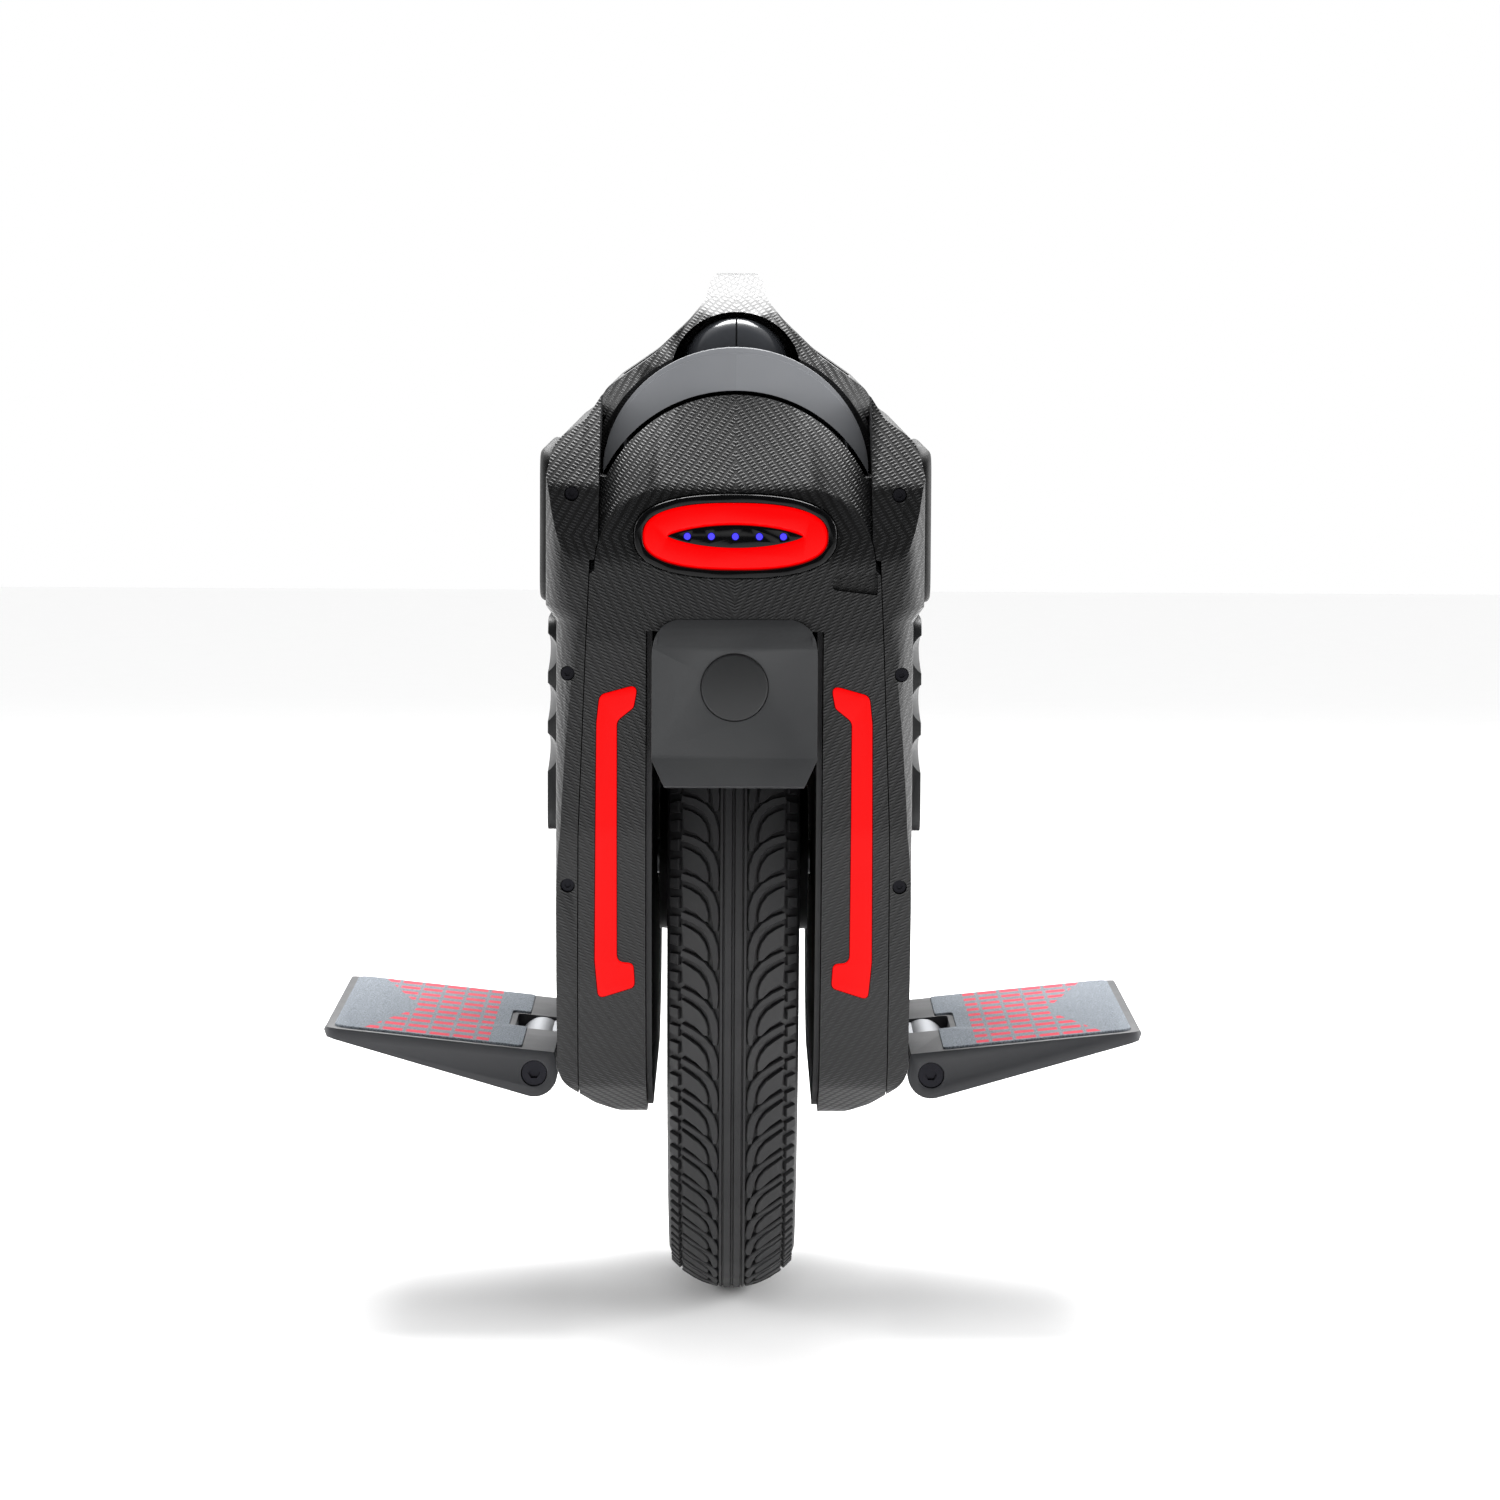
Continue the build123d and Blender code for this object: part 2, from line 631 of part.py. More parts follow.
def side_bumper(side):
    """The bumper low on the flank, with three scoops running in from each end."""
    lean = degrees(atan2(SCOOP_DEPTH, SCOOP_LENGTH))
    with BuildPart() as bumper:
        add(slab(sorted((side * 83.05, side * 89)), (-BUMPER_HALF_L, BUMPER_HALF_L), BUMPER_Z))
        fillet(bumper.edges().filter_by(Axis.X), 12)
        for end in (1, -1):
            for z in SCOOPS_Z:
                start = (side * (89 - SCOOP_DEPTH + SCOOP_R), end * BUMPER_HALF_L, z)
                with Locations(Location(start, (90, side * end * lean, 0))):
                    Cylinder(SCOOP_R, 2 * SCOOP_LENGTH, mode=Mode.SUBTRACT)
    return bumper.part


def side_grip(side):
    """The rubber slab high on the flank that the rider's calf rests against."""
    with BuildPart() as pad:
        add(slab(sorted((side * 88.4, side * 95)), (-95, 95), (350, 425)))
        fillet(pad.edges().filter_by(Axis.X), 16)
        outer_face = pad.faces().sort_by(Axis.X)[-1 if side > 0 else 0]
        fillet(outer_face.edges(), 3)
    return pad.part


for side in (1, -1):
    save(side_bumper(side), side_name("side_bumper", side))
    save(side_grip(side), side_name("side_grip", side))

# ---- mudguards ---------------------------------------------------------------------
GUARD_HALF_W = 38.3
GUARD_END_Y = 240.0
GUARD_CORNER_R = 17.0


def mudguard(end):
    """The flap over the tyre below the lamp, with a lip that kicks out."""
    with BuildPart() as guard:
        with BuildSketch(Plane.YZ):
            with BuildLine():
                points = [(226.5, 350.5), (231, 346), (234, 338), (235, 286), (GUARD_END_Y, 273.5),
                          (237.6, 272.5), (232, 285.5), (231, 337), (228.5, 342), (226.5, 344)]
                Polyline(*[(end * y, z) for y, z in points], close=True)
            make_face()
        extrude(amount=GUARD_HALF_W, both=True)
        for side in (1, -1):
            with BuildSketch(Plane.YZ.offset(side * GUARD_HALF_W)):
                with BuildLine():
                    points = [(234, 343), (235, 286), (220, 286), (222, 343)]
                    Polyline(*[(end * y, z) for y, z in points], close=True)
                make_face()
            extrude(amount=-side * 2.5)
        with BuildSketch(Plane.XZ) as outline:
            with BuildLine():
                points = [(GUARD_HALF_W, 351), (GUARD_HALF_W, 286), (31.5, 272)]
                Polyline(*points, *[(-x, z) for x, z in reversed(points)], close=True)
            make_face()
            fillet(outline.vertices().filter_by(lambda corner: corner.Z > 350), GUARD_CORNER_R)
        extrude(amount=260, both=True, mode=Mode.INTERSECT)
        with BuildSketch(Plane.XZ.offset(-end * 226)):
            with Locations((0, 319.6)):
                Circle(15.6)
        extrude(amount=-end * 20, mode=Mode.SUBTRACT)
    return guard.part


save(mudguard(-1), "rear_mudguard")
save(mudguard(1), "front_mudguard")

with BuildPart() as mudguard_badges:
    for end in (1, -1):
        with BuildSketch(Plane.XZ.offset(-end * 231)):
            with Locations((0, 319.6)):
                Circle(15.5)
        extrude(amount=-end * 5)
save(mudguard_badges.part, "mudguard_badges")

# ---- lamps -------------------------------------------------------------------------
RING_HALF_W = 42.6
RING_HALF_H = 15.0
WINDOW_HALF_W = 31.5
WINDOW_HALF_H = 5.8
BEZEL_Y = (214.0, 229.0)


def lamp_bezel(end):
    """The oval surround of a lamp, open in front and closed behind."""
    with BuildPart() as bezel:
        add(oval_prism(end, LIGHT_HALF_W, LIGHT_HALF_H, *BEZEL_Y))
        add(oval_prism(end, RING_HALF_W + 0.2, RING_HALF_H + 0.2, BEZEL_Y[0] + 2, 240), mode=Mode.SUBTRACT)
    return bezel.part


save(lamp_bezel(-1), "tail_light_bezel")
save(lamp_bezel(1), "headlight_bezel")

with BuildPart() as tail_light_ring:
    add(oval_prism(-1, RING_HALF_W, RING_HALF_H, 218, 228))
    add(oval_prism(-1, WINDOW_HALF_W + 0.1, WINDOW_HALF_H + 0.1, 210, 240), mode=Mode.SUBTRACT)
save(tail_light_ring.part, "tail_light_ring")

LED_PITCH = 11.1
LED_R = 1.5
with BuildPart() as charge_window:
    add(oval_prism(-1, WINDOW_HALF_W, WINDOW_HALF_H, 218, 227.5))
    with BuildSketch(Plane.XZ.offset(228)):
        with Locations((0, LIGHT_Z)):
            with GridLocations(LED_PITCH, 1, 5, 1):
                Circle(LED_R + 0.05)
    extrude(amount=-5, mode=Mode.SUBTRACT)
save(charge_window.part, "charge_window")

with BuildPart() as charge_leds:
    with BuildSketch(Plane.XZ.offset(227.8)):
        with Locations((0, LIGHT_Z)):
            with GridLocations(LED_PITCH, 1, 5, 1):
                Circle(LED_R)
    extrude(amount=-4)
save(charge_leds.part, "charge_leds")

with BuildPart() as headlight_lens:
    add(oval_prism(1, RING_HALF_W, RING_HALF_H, 225.5, 228))
save(headlight_lens.part, "headlight_lens")

with BuildPart() as headlight_modules:
    for x in (-20, 20):
        with BuildSketch(Plane.XZ.offset(-217)):
            with Locations((x, LIGHT_Z)):
                Circle(11)
        extrude(amount=-7)
save(headlight_modules.part, "headlight_modules")


def light_strips(end):
    """The two light strips let into the legs of one cover, slightly proud of it."""
    with BuildPart() as strips:
        for side in (1, -1):
            add(strip_prism(side, end, 0))
        with BuildPart(mode=Mode.PRIVATE) as band:
            add(prism(Plane.YZ, SIDE_OUTLINE, -0.6, 95))
            add(prism(Plane.YZ, SIDE_OUTLINE, SKIN, 95), mode=Mode.SUBTRACT)
        add(band.part, mode=Mode.INTERSECT)
    return strips.part


save(light_strips(-1), "tail_strips")
save(light_strips(1), "front_strips")

# ---- trolley handle ----------------------------------------------------------------
SLEEVE_Z = (225.0, 414.0)
MID_Z = (228.0, 418.0)
INNER_Z = (231.0, 436.0)


def tube_pair(outer_r, inner_r, span):
    """The left and right tubes of one stage of the trolley handle."""
    with BuildPart() as pair:
        with BuildSketch(Plane.XY.offset(span[0])):
            with Locations((TROLLEY_X, TROLLEY_Y), (-TROLLEY_X, TROLLEY_Y)):
                Circle(outer_r)
                Circle(inner_r, mode=Mode.SUBTRACT)
        extrude(amount=span[1] - span[0])
    return pair.part


save(tube_pair(7.2, 6.0, SLEEVE_Z), "trolley_sleeves")
save(tube_pair(5.92, 4.6, MID_Z), "trolley_mid_tubes")
save(tube_pair(4.52, 3.2, INNER_Z), "trolley_inner_tubes")

with BuildPart() as trolley_grip:
    under_r, under_z = grip_under(0)
    with BuildSketch(Plane.XZ.offset(-GRIP_REAR_Y)):
        with Locations((0, GRIP_BASE_Z)):
            Ellipse(GRIP_HALF_W, GRIP_TOP_Z - GRIP_BASE_Z)
        with Locations((0, under_z)):
            Circle(under_r, mode=Mode.SUBTRACT)
        with Locations((0, GRIP_BASE_Z - 50)):
            Rectangle(200, 100, mode=Mode.SUBTRACT)
    extrude(amount=GRIP_REAR_Y - GRIP_FRONT_Y)
    chamfer(trolley_grip.edges().filter_by(Axis.Y, reverse=True).filter_by(
        lambda edge: edge.center().Y < GRIP_REAR_Y + 1 and edge.center().Z > GRIP_UNDER_Z), 2)
    with Locations(*[Location((side * TROLLEY_X, TROLLEY_Y, 431)) for side in (1, -1)]):
        Cylinder(4.52, 10, mode=Mode.SUBTRACT)
    with Locations(Location((0, TROLLEY_Y, GRIP_UNDER_Z + 4))):
        Cylinder(6.1, 10, mode=Mode.SUBTRACT)
save(trolley_grip.part, "trolley_grip")

with BuildPart() as trolley_button:
    with Locations(Location((0, TROLLEY_Y, GRIP_UNDER_Z + 2.6))):
        Cylinder(6.0, 4.4)
save(trolley_button.part, "trolley_button")

# ---- pedals ------------------------------------------------------------------------
DECK_RISE = 11.5            # of the deck above the pin
TIP_T = 5.0
PIN_LENGTH = 190.0
GRIP_T = 1.2
TAPE_IN = 103.0
TAPE_OUT = 195.0


def deck_z(x, lift=0.0):
    """Height of the open right pedal's deck at x."""
    return PIN_Z + DECK_RISE + lift + (x - PIN_X) * sin(radians(PEDAL_TILT)) / cos(radians(PEDAL_TILT))


def pedal(side):
    """A tapered pedal with its hinge knuckles either side of the hanger."""
    with BuildPart() as body:
        with BuildSketch(Plane.XZ):
            with BuildLine():
                points = [(87, deck_z(87)), (PEDAL_REACH - 1, deck_z(PEDAL_REACH - 1)),
                          (PEDAL_REACH, deck_z(PEDAL_REACH) - 2), (PEDAL_REACH - 2, deck_z(PEDAL_REACH) - TIP_T),
                          (PIN_X, PIN_Z - DECK_RISE), (87, PIN_Z)]
                Polyline(*[(side * x, z) for x, z in points], close=True)
            make_face()
            with Locations((side * PIN_X, PIN_Z)):
                Circle(DECK_RISE)
        extrude(amount=PEDAL_HALF_L, both=True)
        tip = body.edges().filter_by(lambda edge: abs(edge.center().X) > PEDAL_REACH - 4)
        fillet(tip.filter_by(lambda edge: abs(abs(edge.center().Y) - PEDAL_HALF_L) < 0.1), 1.5)
        notch = sorted((side * 80, side * (PIN_X + KNUCKLE_R + 0.7)))
        add(slab(notch, (-HANGER_HALF_L, HANGER_HALF_L), (90, 150)), mode=Mode.SUBTRACT)
        with BuildSketch(Plane.XZ):
            with Locations((side * PIN_X, PIN_Z)):
                Circle(4.0)
        extrude(amount=PIN_LENGTH / 2, both=True, mode=Mode.SUBTRACT)
        for end in (1, -1):
            with BuildSketch(Plane.XZ.offset(end * PEDAL_HALF_L)):
                with Locations((side * PIN_X, PIN_Z)):
                    Circle(6.2)
            extrude(amount=-end * 6, mode=Mode.SUBTRACT)
    return body.part


def pedal_grip(side):
    """The sheet of grip tape on the pedal's deck, cut round the hanger's notch."""
    with BuildPart() as sheet:
        with BuildSketch(Plane.XZ):
            with BuildLine():
                points = [(TAPE_IN, deck_z(TAPE_IN)), (TAPE_OUT, deck_z(TAPE_OUT)),
                          (TAPE_OUT, deck_z(TAPE_OUT, GRIP_T)), (TAPE_IN, deck_z(TAPE_IN, GRIP_T))]
                Polyline(*[(side * x, z) for x, z in points], close=True)
            make_face()
        extrude(amount=PEDAL_HALF_L - 5, both=True)
        notch = sorted((side * 90, side * (PIN_X + KNUCKLE_R + 4)))
        add(slab(notch, (-HANGER_HALF_L - 3, HANGER_HALF_L + 3), (90, 180)), mode=Mode.SUBTRACT)
    return sheet.part


def pedal_pin(side):
    """The hinge pin, with a socket head at each end."""
    with BuildPart() as pin:
        with BuildSketch(Plane.XZ):
            with Locations((side * PIN_X, PIN_Z)):
                Circle(4.0)
        extrude(amount=PEDAL_HALF_L - 6, both=True)
        for end in (1, -1):
            with BuildSketch(Plane.XZ.offset(end * (PEDAL_HALF_L - 6))):
                with Locations((side * PIN_X, PIN_Z)):
                    Circle(6.0)
            extrude(amount=end * 4.5)
            with BuildSketch(Plane.XZ.offset(end * (PEDAL_HALF_L - 1.5))):
                with Locations((side * PIN_X, PIN_Z)):
                    RegularPolygon(2.9, 6)
            extrude(amount=-end * 3, mode=Mode.SUBTRACT)
    return pin.part


for side in (1, -1):
    save(pedal(side), side_name("pedal", side))
    save(pedal_grip(side), side_name("pedal_grip", side))
    save(pedal_pin(side), side_name("pedal_pin", side))

# ---- batteries and electronics -----------------------------------------------------


def battery(side):
    """One battery pack in the space between the wheel well and the flank."""
    with BuildPart() as pack:
        add(slab(sorted((side * 44, side * 78)), (-140, 150), (258, 385)))
        fillet(pack.edges().filter_by(Axis.X), 8)
    return pack.part


for side in (1, -1):
    save(battery(side), side_name("battery_pack", side))

with BuildPart() as control_board:
    add(slab((-45, 45), (108, 180), (430, 431.6)))
    with Locations(Location((0, 165, 431.6), (0, 0, 0))):
        with GridLocations(22, 1, 4, 1):
            Box(10, 14, 4, align=(Align.CENTER, Align.CENTER, Align.MIN))
save(control_board.part, "control_board")

with BuildPart() as heat_sink:
    add(slab((-40, 40), (110, 154), (431.6, 435)))
    with Locations(Location((0, 132, 435))):
        with GridLocations(8, 1, 10, 1):
            Box(2, 44, 12, align=(Align.CENTER, Align.CENTER, Align.MIN))
save(heat_sink.part, "heat_sink")

FAN_CENTRE = (60.0, 412.0)
FAN_X = -62.0
with BuildPart() as fan_frame:
    with BuildSketch(Plane.YZ.offset(FAN_X - 5)):
        with Locations(FAN_CENTRE):
            Rectangle(40, 40)
            Circle(18.5, mode=Mode.SUBTRACT)
    extrude(amount=10)
    with BuildSketch(Plane.YZ.offset(FAN_X - 5)):
        with Locations(FAN_CENTRE):
            Circle(7)
            Rectangle(38, 3)
            Rectangle(3, 38)
    extrude(amount=1.5)
    with BuildSketch(Plane.YZ.offset(FAN_X - 5)):
        with Locations(FAN_CENTRE):
            Circle(1.5)
    extrude(amount=8)
save(fan_frame.part, "fan_frame")

with BuildPart() as fan_rotor:
    with BuildSketch(Plane.YZ.offset(FAN_X - 3)):
        with Locations(FAN_CENTRE):
            Circle(8)
            with PolarLocations(12, 7):
                Rectangle(10, 2.2)
            Circle(1.55, mode=Mode.SUBTRACT)
    extrude(amount=7)
save(fan_rotor.part, "fan_rotor")

# ---- buttons and charging port -----------------------------------------------------
with BuildPart() as power_button:
    with BuildSketch(BUTTON_PLANE.offset(-4)):
        Circle(BUTTON_R)
    extrude(amount=5.2)
save(power_button.part, "power_button")

with BuildPart() as lift_switch:
    with BuildSketch(Plane.XY.offset(HANDLE_UNDER_Z - 2)):
        Circle(6.0)
    extrude(amount=6)
save(lift_switch.part, "lift_switch")

SOCKET_CENTRE = ((FLAP_Y[0] + FLAP_Y[1]) / 2, (FLAP_Z[0] + FLAP_Z[1]) / 2)
with BuildPart() as charge_socket:
    with BuildSketch(Plane.YZ.offset(66)):
        with Locations(SOCKET_CENTRE):
            Circle(8)
    extrude(amount=16)
    with BuildSketch(Plane.YZ.offset(72)):
        with Locations(SOCKET_CENTRE):
            Circle(11)
    extrude(amount=3)
    with BuildSketch(Plane.YZ.offset(72)):
        with Locations(SOCKET_CENTRE):
            Circle(6.5)
    extrude(amount=10, mode=Mode.SUBTRACT)
    with BuildSketch(Plane.YZ.offset(72)):
        with Locations(SOCKET_CENTRE):
            with PolarLocations(3.2, 3):
                Circle(0.9)
    extrude(amount=5)
save(charge_socket.part, "charge_socket")

with BuildPart() as charge_flap:
    add(slab((85.2, 88), (FLAP_Y[0], FLAP_HINGE[1]), FLAP_Z))
    free_end = charge_flap.edges().filter_by(Axis.X).filter_by(lambda edge: edge.center().Y < FLAP_Y[0] + 1)
    fillet(free_end, 3)
    with BuildSketch(Plane.XY.offset(FLAP_Z[0])):
        with Locations(FLAP_HINGE):
            Circle(FLAP_HINGE_R)
    extrude(amount=FLAP_Z[1] - FLAP_Z[0])
save(charge_flap.part, "charge_flap")
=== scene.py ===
"""Looks of the electric unicycle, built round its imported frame. Lengths are in metres."""

import json
import logging
import math
from dataclasses import dataclass, field
from enum import Enum
from typing import Iterable, Sequence

import bpy
from mathutils import Matrix, Vector

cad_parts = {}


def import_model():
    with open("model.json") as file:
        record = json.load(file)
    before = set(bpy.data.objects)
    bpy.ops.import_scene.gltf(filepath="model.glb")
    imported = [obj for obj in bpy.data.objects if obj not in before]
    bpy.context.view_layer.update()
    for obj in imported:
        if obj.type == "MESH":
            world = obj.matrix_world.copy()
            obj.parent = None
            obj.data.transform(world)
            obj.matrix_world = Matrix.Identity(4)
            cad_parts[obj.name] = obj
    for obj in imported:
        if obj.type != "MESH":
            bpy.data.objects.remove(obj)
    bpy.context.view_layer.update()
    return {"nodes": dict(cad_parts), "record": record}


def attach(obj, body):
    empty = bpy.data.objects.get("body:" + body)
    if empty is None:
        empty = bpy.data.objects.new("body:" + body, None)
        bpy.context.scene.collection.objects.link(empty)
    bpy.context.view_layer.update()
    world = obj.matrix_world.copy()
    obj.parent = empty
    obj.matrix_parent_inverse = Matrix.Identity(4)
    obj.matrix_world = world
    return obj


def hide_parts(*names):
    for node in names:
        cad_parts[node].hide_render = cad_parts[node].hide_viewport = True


log = logging.getLogger("unicycle")
MM = 0.001
Point2 = tuple[float, float]
Point3 = tuple[float, float, float]


# ---- shop tools: modelling with operators ------------------------------------------
class Side(Enum):
    """The rider's left or right, as the sign of x."""
    LEFT = -1
    RIGHT = 1


class End(Enum):
    """The rear or front of the body, as the sign of y."""
    REAR = -1
    FRONT = 1


class View(Enum):
    """The plane that an outline is drawn in."""
    REAR = "xz"
    SIDE = "yz"
    TOP = "xy"


def deselect() -> None:
    """Leave nothing selected and no object in edit mode."""
    if bpy.context.object and bpy.context.object.mode != "OBJECT":
        bpy.ops.object.mode_set(mode="OBJECT")
    bpy.ops.object.select_all(action="DESELECT")


def activate(piece: bpy.types.Object) -> None:
    """Select only this piece and make it the active one."""
    deselect()
    piece.select_set(True)
    bpy.context.view_layer.objects.active = piece


def settle(piece: bpy.types.Object) -> bpy.types.Object:
    """Apply a piece's place to its mesh, so that its object sits at the origin."""
    activate(piece)
    bpy.ops.object.transform_apply(location=True, rotation=True, scale=True)
    return piece


def tidy_mesh(piece: bpy.types.Object, merge: float = 1e-6) -> bpy.types.Object:
    """Merge doubles and turn every face outwards."""
    activate(piece)
    bpy.ops.object.mode_set(mode="EDIT")
    bpy.ops.mesh.select_all(action="SELECT")
    bpy.ops.mesh.remove_doubles(threshold=merge)
    bpy.ops.mesh.normals_make_consistent(inside=False)
    bpy.ops.object.mode_set(mode="OBJECT")
    return piece


def to_space(view: View, a: float, b: float, depth: float) -> Vector:
    """A point drawn at (a, b) in a view, at a depth along that view's axis.

    Args:
        view: The plane of the drawing.
        a: First drawing coordinate, in millimetres.
        b: Second drawing coordinate, in millimetres.
        depth: Distance along the view's axis, in millimetres.

    Returns:
        The point in metres.
    """
    point = {View.REAR: (a, depth, b), View.SIDE: (depth, a, b), View.TOP: (a, b, depth)}[view]
    return Vector(point) * MM


def plate(name: str, outline: Sequence[Point2], view: View, low: float, high: float) -> bpy.types.Object:
    """A closed plate: an outline drawn in one view, extruded from low to high.

    Args:
        name: The new piece's name.
        outline: The corner points going once round, in millimetres.
        view: The plane of the drawing.
        low: Start of the extrusion along the view's axis, in millimetres.
        high: End of the extrusion, in millimetres.

    Returns:
        The new object.
    """
    deselect()
    bpy.ops.mesh.primitive_circle_add(vertices=len(outline), radius=1, fill_type="NGON")
    piece = bpy.context.object
    piece.name = name
    for vertex, (a, b) in zip(piece.data.vertices, outline):
        vertex.co = to_space(view, a, b, low)
    bpy.ops.object.mode_set(mode="EDIT")
    bpy.ops.mesh.select_all(action="SELECT")
    step = to_space(view, 0, 0, high - low)
    bpy.ops.mesh.extrude_region_move(TRANSFORM_OT_translate={"value": step})
    bpy.ops.object.mode_set(mode="OBJECT")
    return tidy_mesh(piece)


def block(name: str, x: Point2, y: Point2, z: Point2) -> bpy.types.Object:
    """A cutting block between three (low, high) pairs, in millimetres."""
    deselect()
    centre = [(low + high) / 2 * MM for low, high in (x, y, z)]
    bpy.ops.mesh.primitive_cube_add(size=1, location=centre)
    piece = bpy.context.object
    piece.name = name
    piece.scale = [(high - low) * MM for low, high in (x, y, z)]
    return settle(piece)


def finish_modifier(piece: bpy.types.Object, kind: str, **settings: object) -> bpy.types.Object:
    """Add a modifier with its settings and apply it."""
    activate(piece)
    modifier = piece.modifiers.new(kind.title(), kind)
    for key, value in settings.items():
        setattr(modifier, key, value)
    bpy.ops.object.modifier_apply(modifier=modifier.name)
    return piece


def combine(piece: bpy.types.Object, tool: bpy.types.Object, operation: str,
            keep_tool: bool = False) -> bpy.types.Object:
    """Join, cut or intersect a piece with a tool.

    Args:
        piece: The piece that changes.
        tool: The other solid.
        operation: UNION, DIFFERENCE or INTERSECT.
        keep_tool: Whether the tool is used again.

    Returns:
        The piece.
    """
    finish_modifier(piece, "BOOLEAN", operation=operation, object=tool, solver="EXACT")
    if not keep_tool:
        bpy.data.objects.remove(tool)
    return piece


def cut(piece: bpy.types.Object, *tools: bpy.types.Object) -> bpy.types.Object:
    """Cut the tools out of a piece."""
    for tool in tools:
        combine(piece, tool, "DIFFERENCE")
    return piece


def round_edges(piece: bpy.types.Object, width: float, segments: int = 2, angle: float = 35) -> bpy.types.Object:
    """Round the edges sharper than an angle, by a width in millimetres."""
    return finish_modifier(piece, "BEVEL", width=width * MM, segments=segments, limit_method="ANGLE",
                           angle_limit=math.radians(angle), use_clamp_overlap=True, miter_outer="MITER_ARC")


def shade(piece: bpy.types.Object, angle: float = 30) -> bpy.types.Object:
    """Shade smooth, keeping edges sharper than an angle."""
    activate(piece)
    bpy.ops.object.shade_smooth_by_angle(angle=math.radians(angle))
    return piece


def duplicate(piece: bpy.types.Object, name: str) -> bpy.types.Object:
    """A copy of a piece with its own mesh."""
    twin = piece.copy()
    twin.data = piece.data.copy()
    twin.name = name
    bpy.context.scene.collection.objects.link(twin)
    return twin


def raw_mesh(name: str, points: Sequence[Point3], faces: Sequence[Sequence[int]]) -> bpy.types.Object:
    """A piece from points in metres and faces, for shapes wrapped by a formula."""
    mesh = bpy.data.meshes.new(name)
    mesh.from_pydata(points, [], faces)
    piece = bpy.data.objects.new(name, mesh)
    bpy.context.scene.collection.objects.link(piece)
    return piece


def turned(name: str, profile: Sequence[Point2], centre: Point3, steps: int) -> bpy.types.Object:
    """A ring turned about an axis along X.

    Args:
        name: The new piece's name.
        profile: A closed section as (x, radius) in millimetres.
        centre: A point on the axis, in millimetres.
        steps: How many steps go round.

    Returns:
        The new object.
    """
    deselect()
    bpy.ops.mesh.primitive_circle_add(vertices=len(profile), radius=1)
    piece = bpy.context.object
    piece.name = name
    middle = Vector(centre) * MM
    for vertex, (x, radius) in zip(piece.data.vertices, profile):
        vertex.co = middle + Vector((x, 0, radius)) * MM
    bpy.ops.object.mode_set(mode="EDIT")
    bpy.ops.mesh.select_all(action="SELECT")
    bpy.ops.mesh.spin(steps=steps, angle=2 * math.pi, center=middle, axis=(1, 0, 0), use_auto_merge=True)
    bpy.ops.object.mode_set(mode="OBJECT")
    return tidy_mesh(piece, 1e-5)


def oval(half_w: float, half_h: float, power: float, centre: Point2, count: int = 96) -> list[Point2]:
    """A rounded oval outline: power 2 is an ellipse, and more is flatter on its sides."""
    points = []
    for index in range(count):
        angle = 2 * math.pi * index / count
        c, s = math.cos(angle), math.sin(angle)
        points.append((centre[0] + half_w * math.copysign(abs(c) ** (2 / power), c),
                       centre[1] + half_h * math.copysign(abs(s) ** (2 / power), s)))
    return points


def rounded(points: Sequence[Point2], radii: Sequence[float], steps: int = 6) -> list[Point2]:
    """An outline with its corners rounded.

    Args:
        points: The corners, going once round.
        radii: The radius of each corner.
        steps: Segments of each round corner.

    Returns:
        The rounded outline.
    """
    result: list[Point2] = []
    for index, (point, radius) in enumerate(zip(points, radii)):
        here = Vector(point)
        before, after = Vector(points[index - 1]), Vector(points[(index + 1) % len(points)])
        if radius <= 0:
            result.append(tuple(here))
            continue
        to_before, to_after = (before - here).normalized(), (after - here).normalized()
        half = to_before.angle(to_after) / 2
        reach = min(radius / math.tan(half), (before - here).length * 0.48, (after - here).length * 0.48)
        start, end = here + to_before * reach, here + to_after * reach
        for step in range(steps + 1):
            t = step / steps
            bend = (1 - t) ** 2 * start + 2 * t * (1 - t) * here + t ** 2 * end
            result.append((bend.x, bend.y))
    return result


def both_sides(half: Sequence[Point2]) -> list[Point2]:
    """A right half-outline with its mirror image, going once round."""
    return list(half) + [(-a, b) for a, b in reversed(half)]


# ---- materials ---------------------------------------------------------------------
def linear(hex_colour: str) -> tuple[float, float, float, float]:
    """An sRGB hex colour as linear RGBA."""
    channels = [int(hex_colour.lstrip("#")[i:i + 2], 16) / 255 for i in (0, 2, 4)]
    return (*[c / 12.92 if c <= 0.04045 else ((c + 0.055) / 1.055) ** 2.4 for c in channels], 1.0)


def put(tree: bpy.types.NodeTree, kind: str, links: dict[object, object] | None = None,
        **settings: object) -> bpy.types.Node:
    """Add one node with its settings and links.

    Args:
        tree: The material's node tree.
        kind: The node's type, without its ShaderNode prefix.
        links: What feeds each input: an output socket, or a value to set on it.
        settings: Properties of the node itself.

    Returns:
        The node.
    """
    node = tree.nodes.new("ShaderNode" + kind)
    for key, value in settings.items():
        setattr(node, key, value)
    for socket, source in (links or {}).items():
        if isinstance(source, bpy.types.NodeSocket):
            tree.links.new(source, node.inputs[socket])
        else:
            node.inputs[socket].default_value = source
    return node


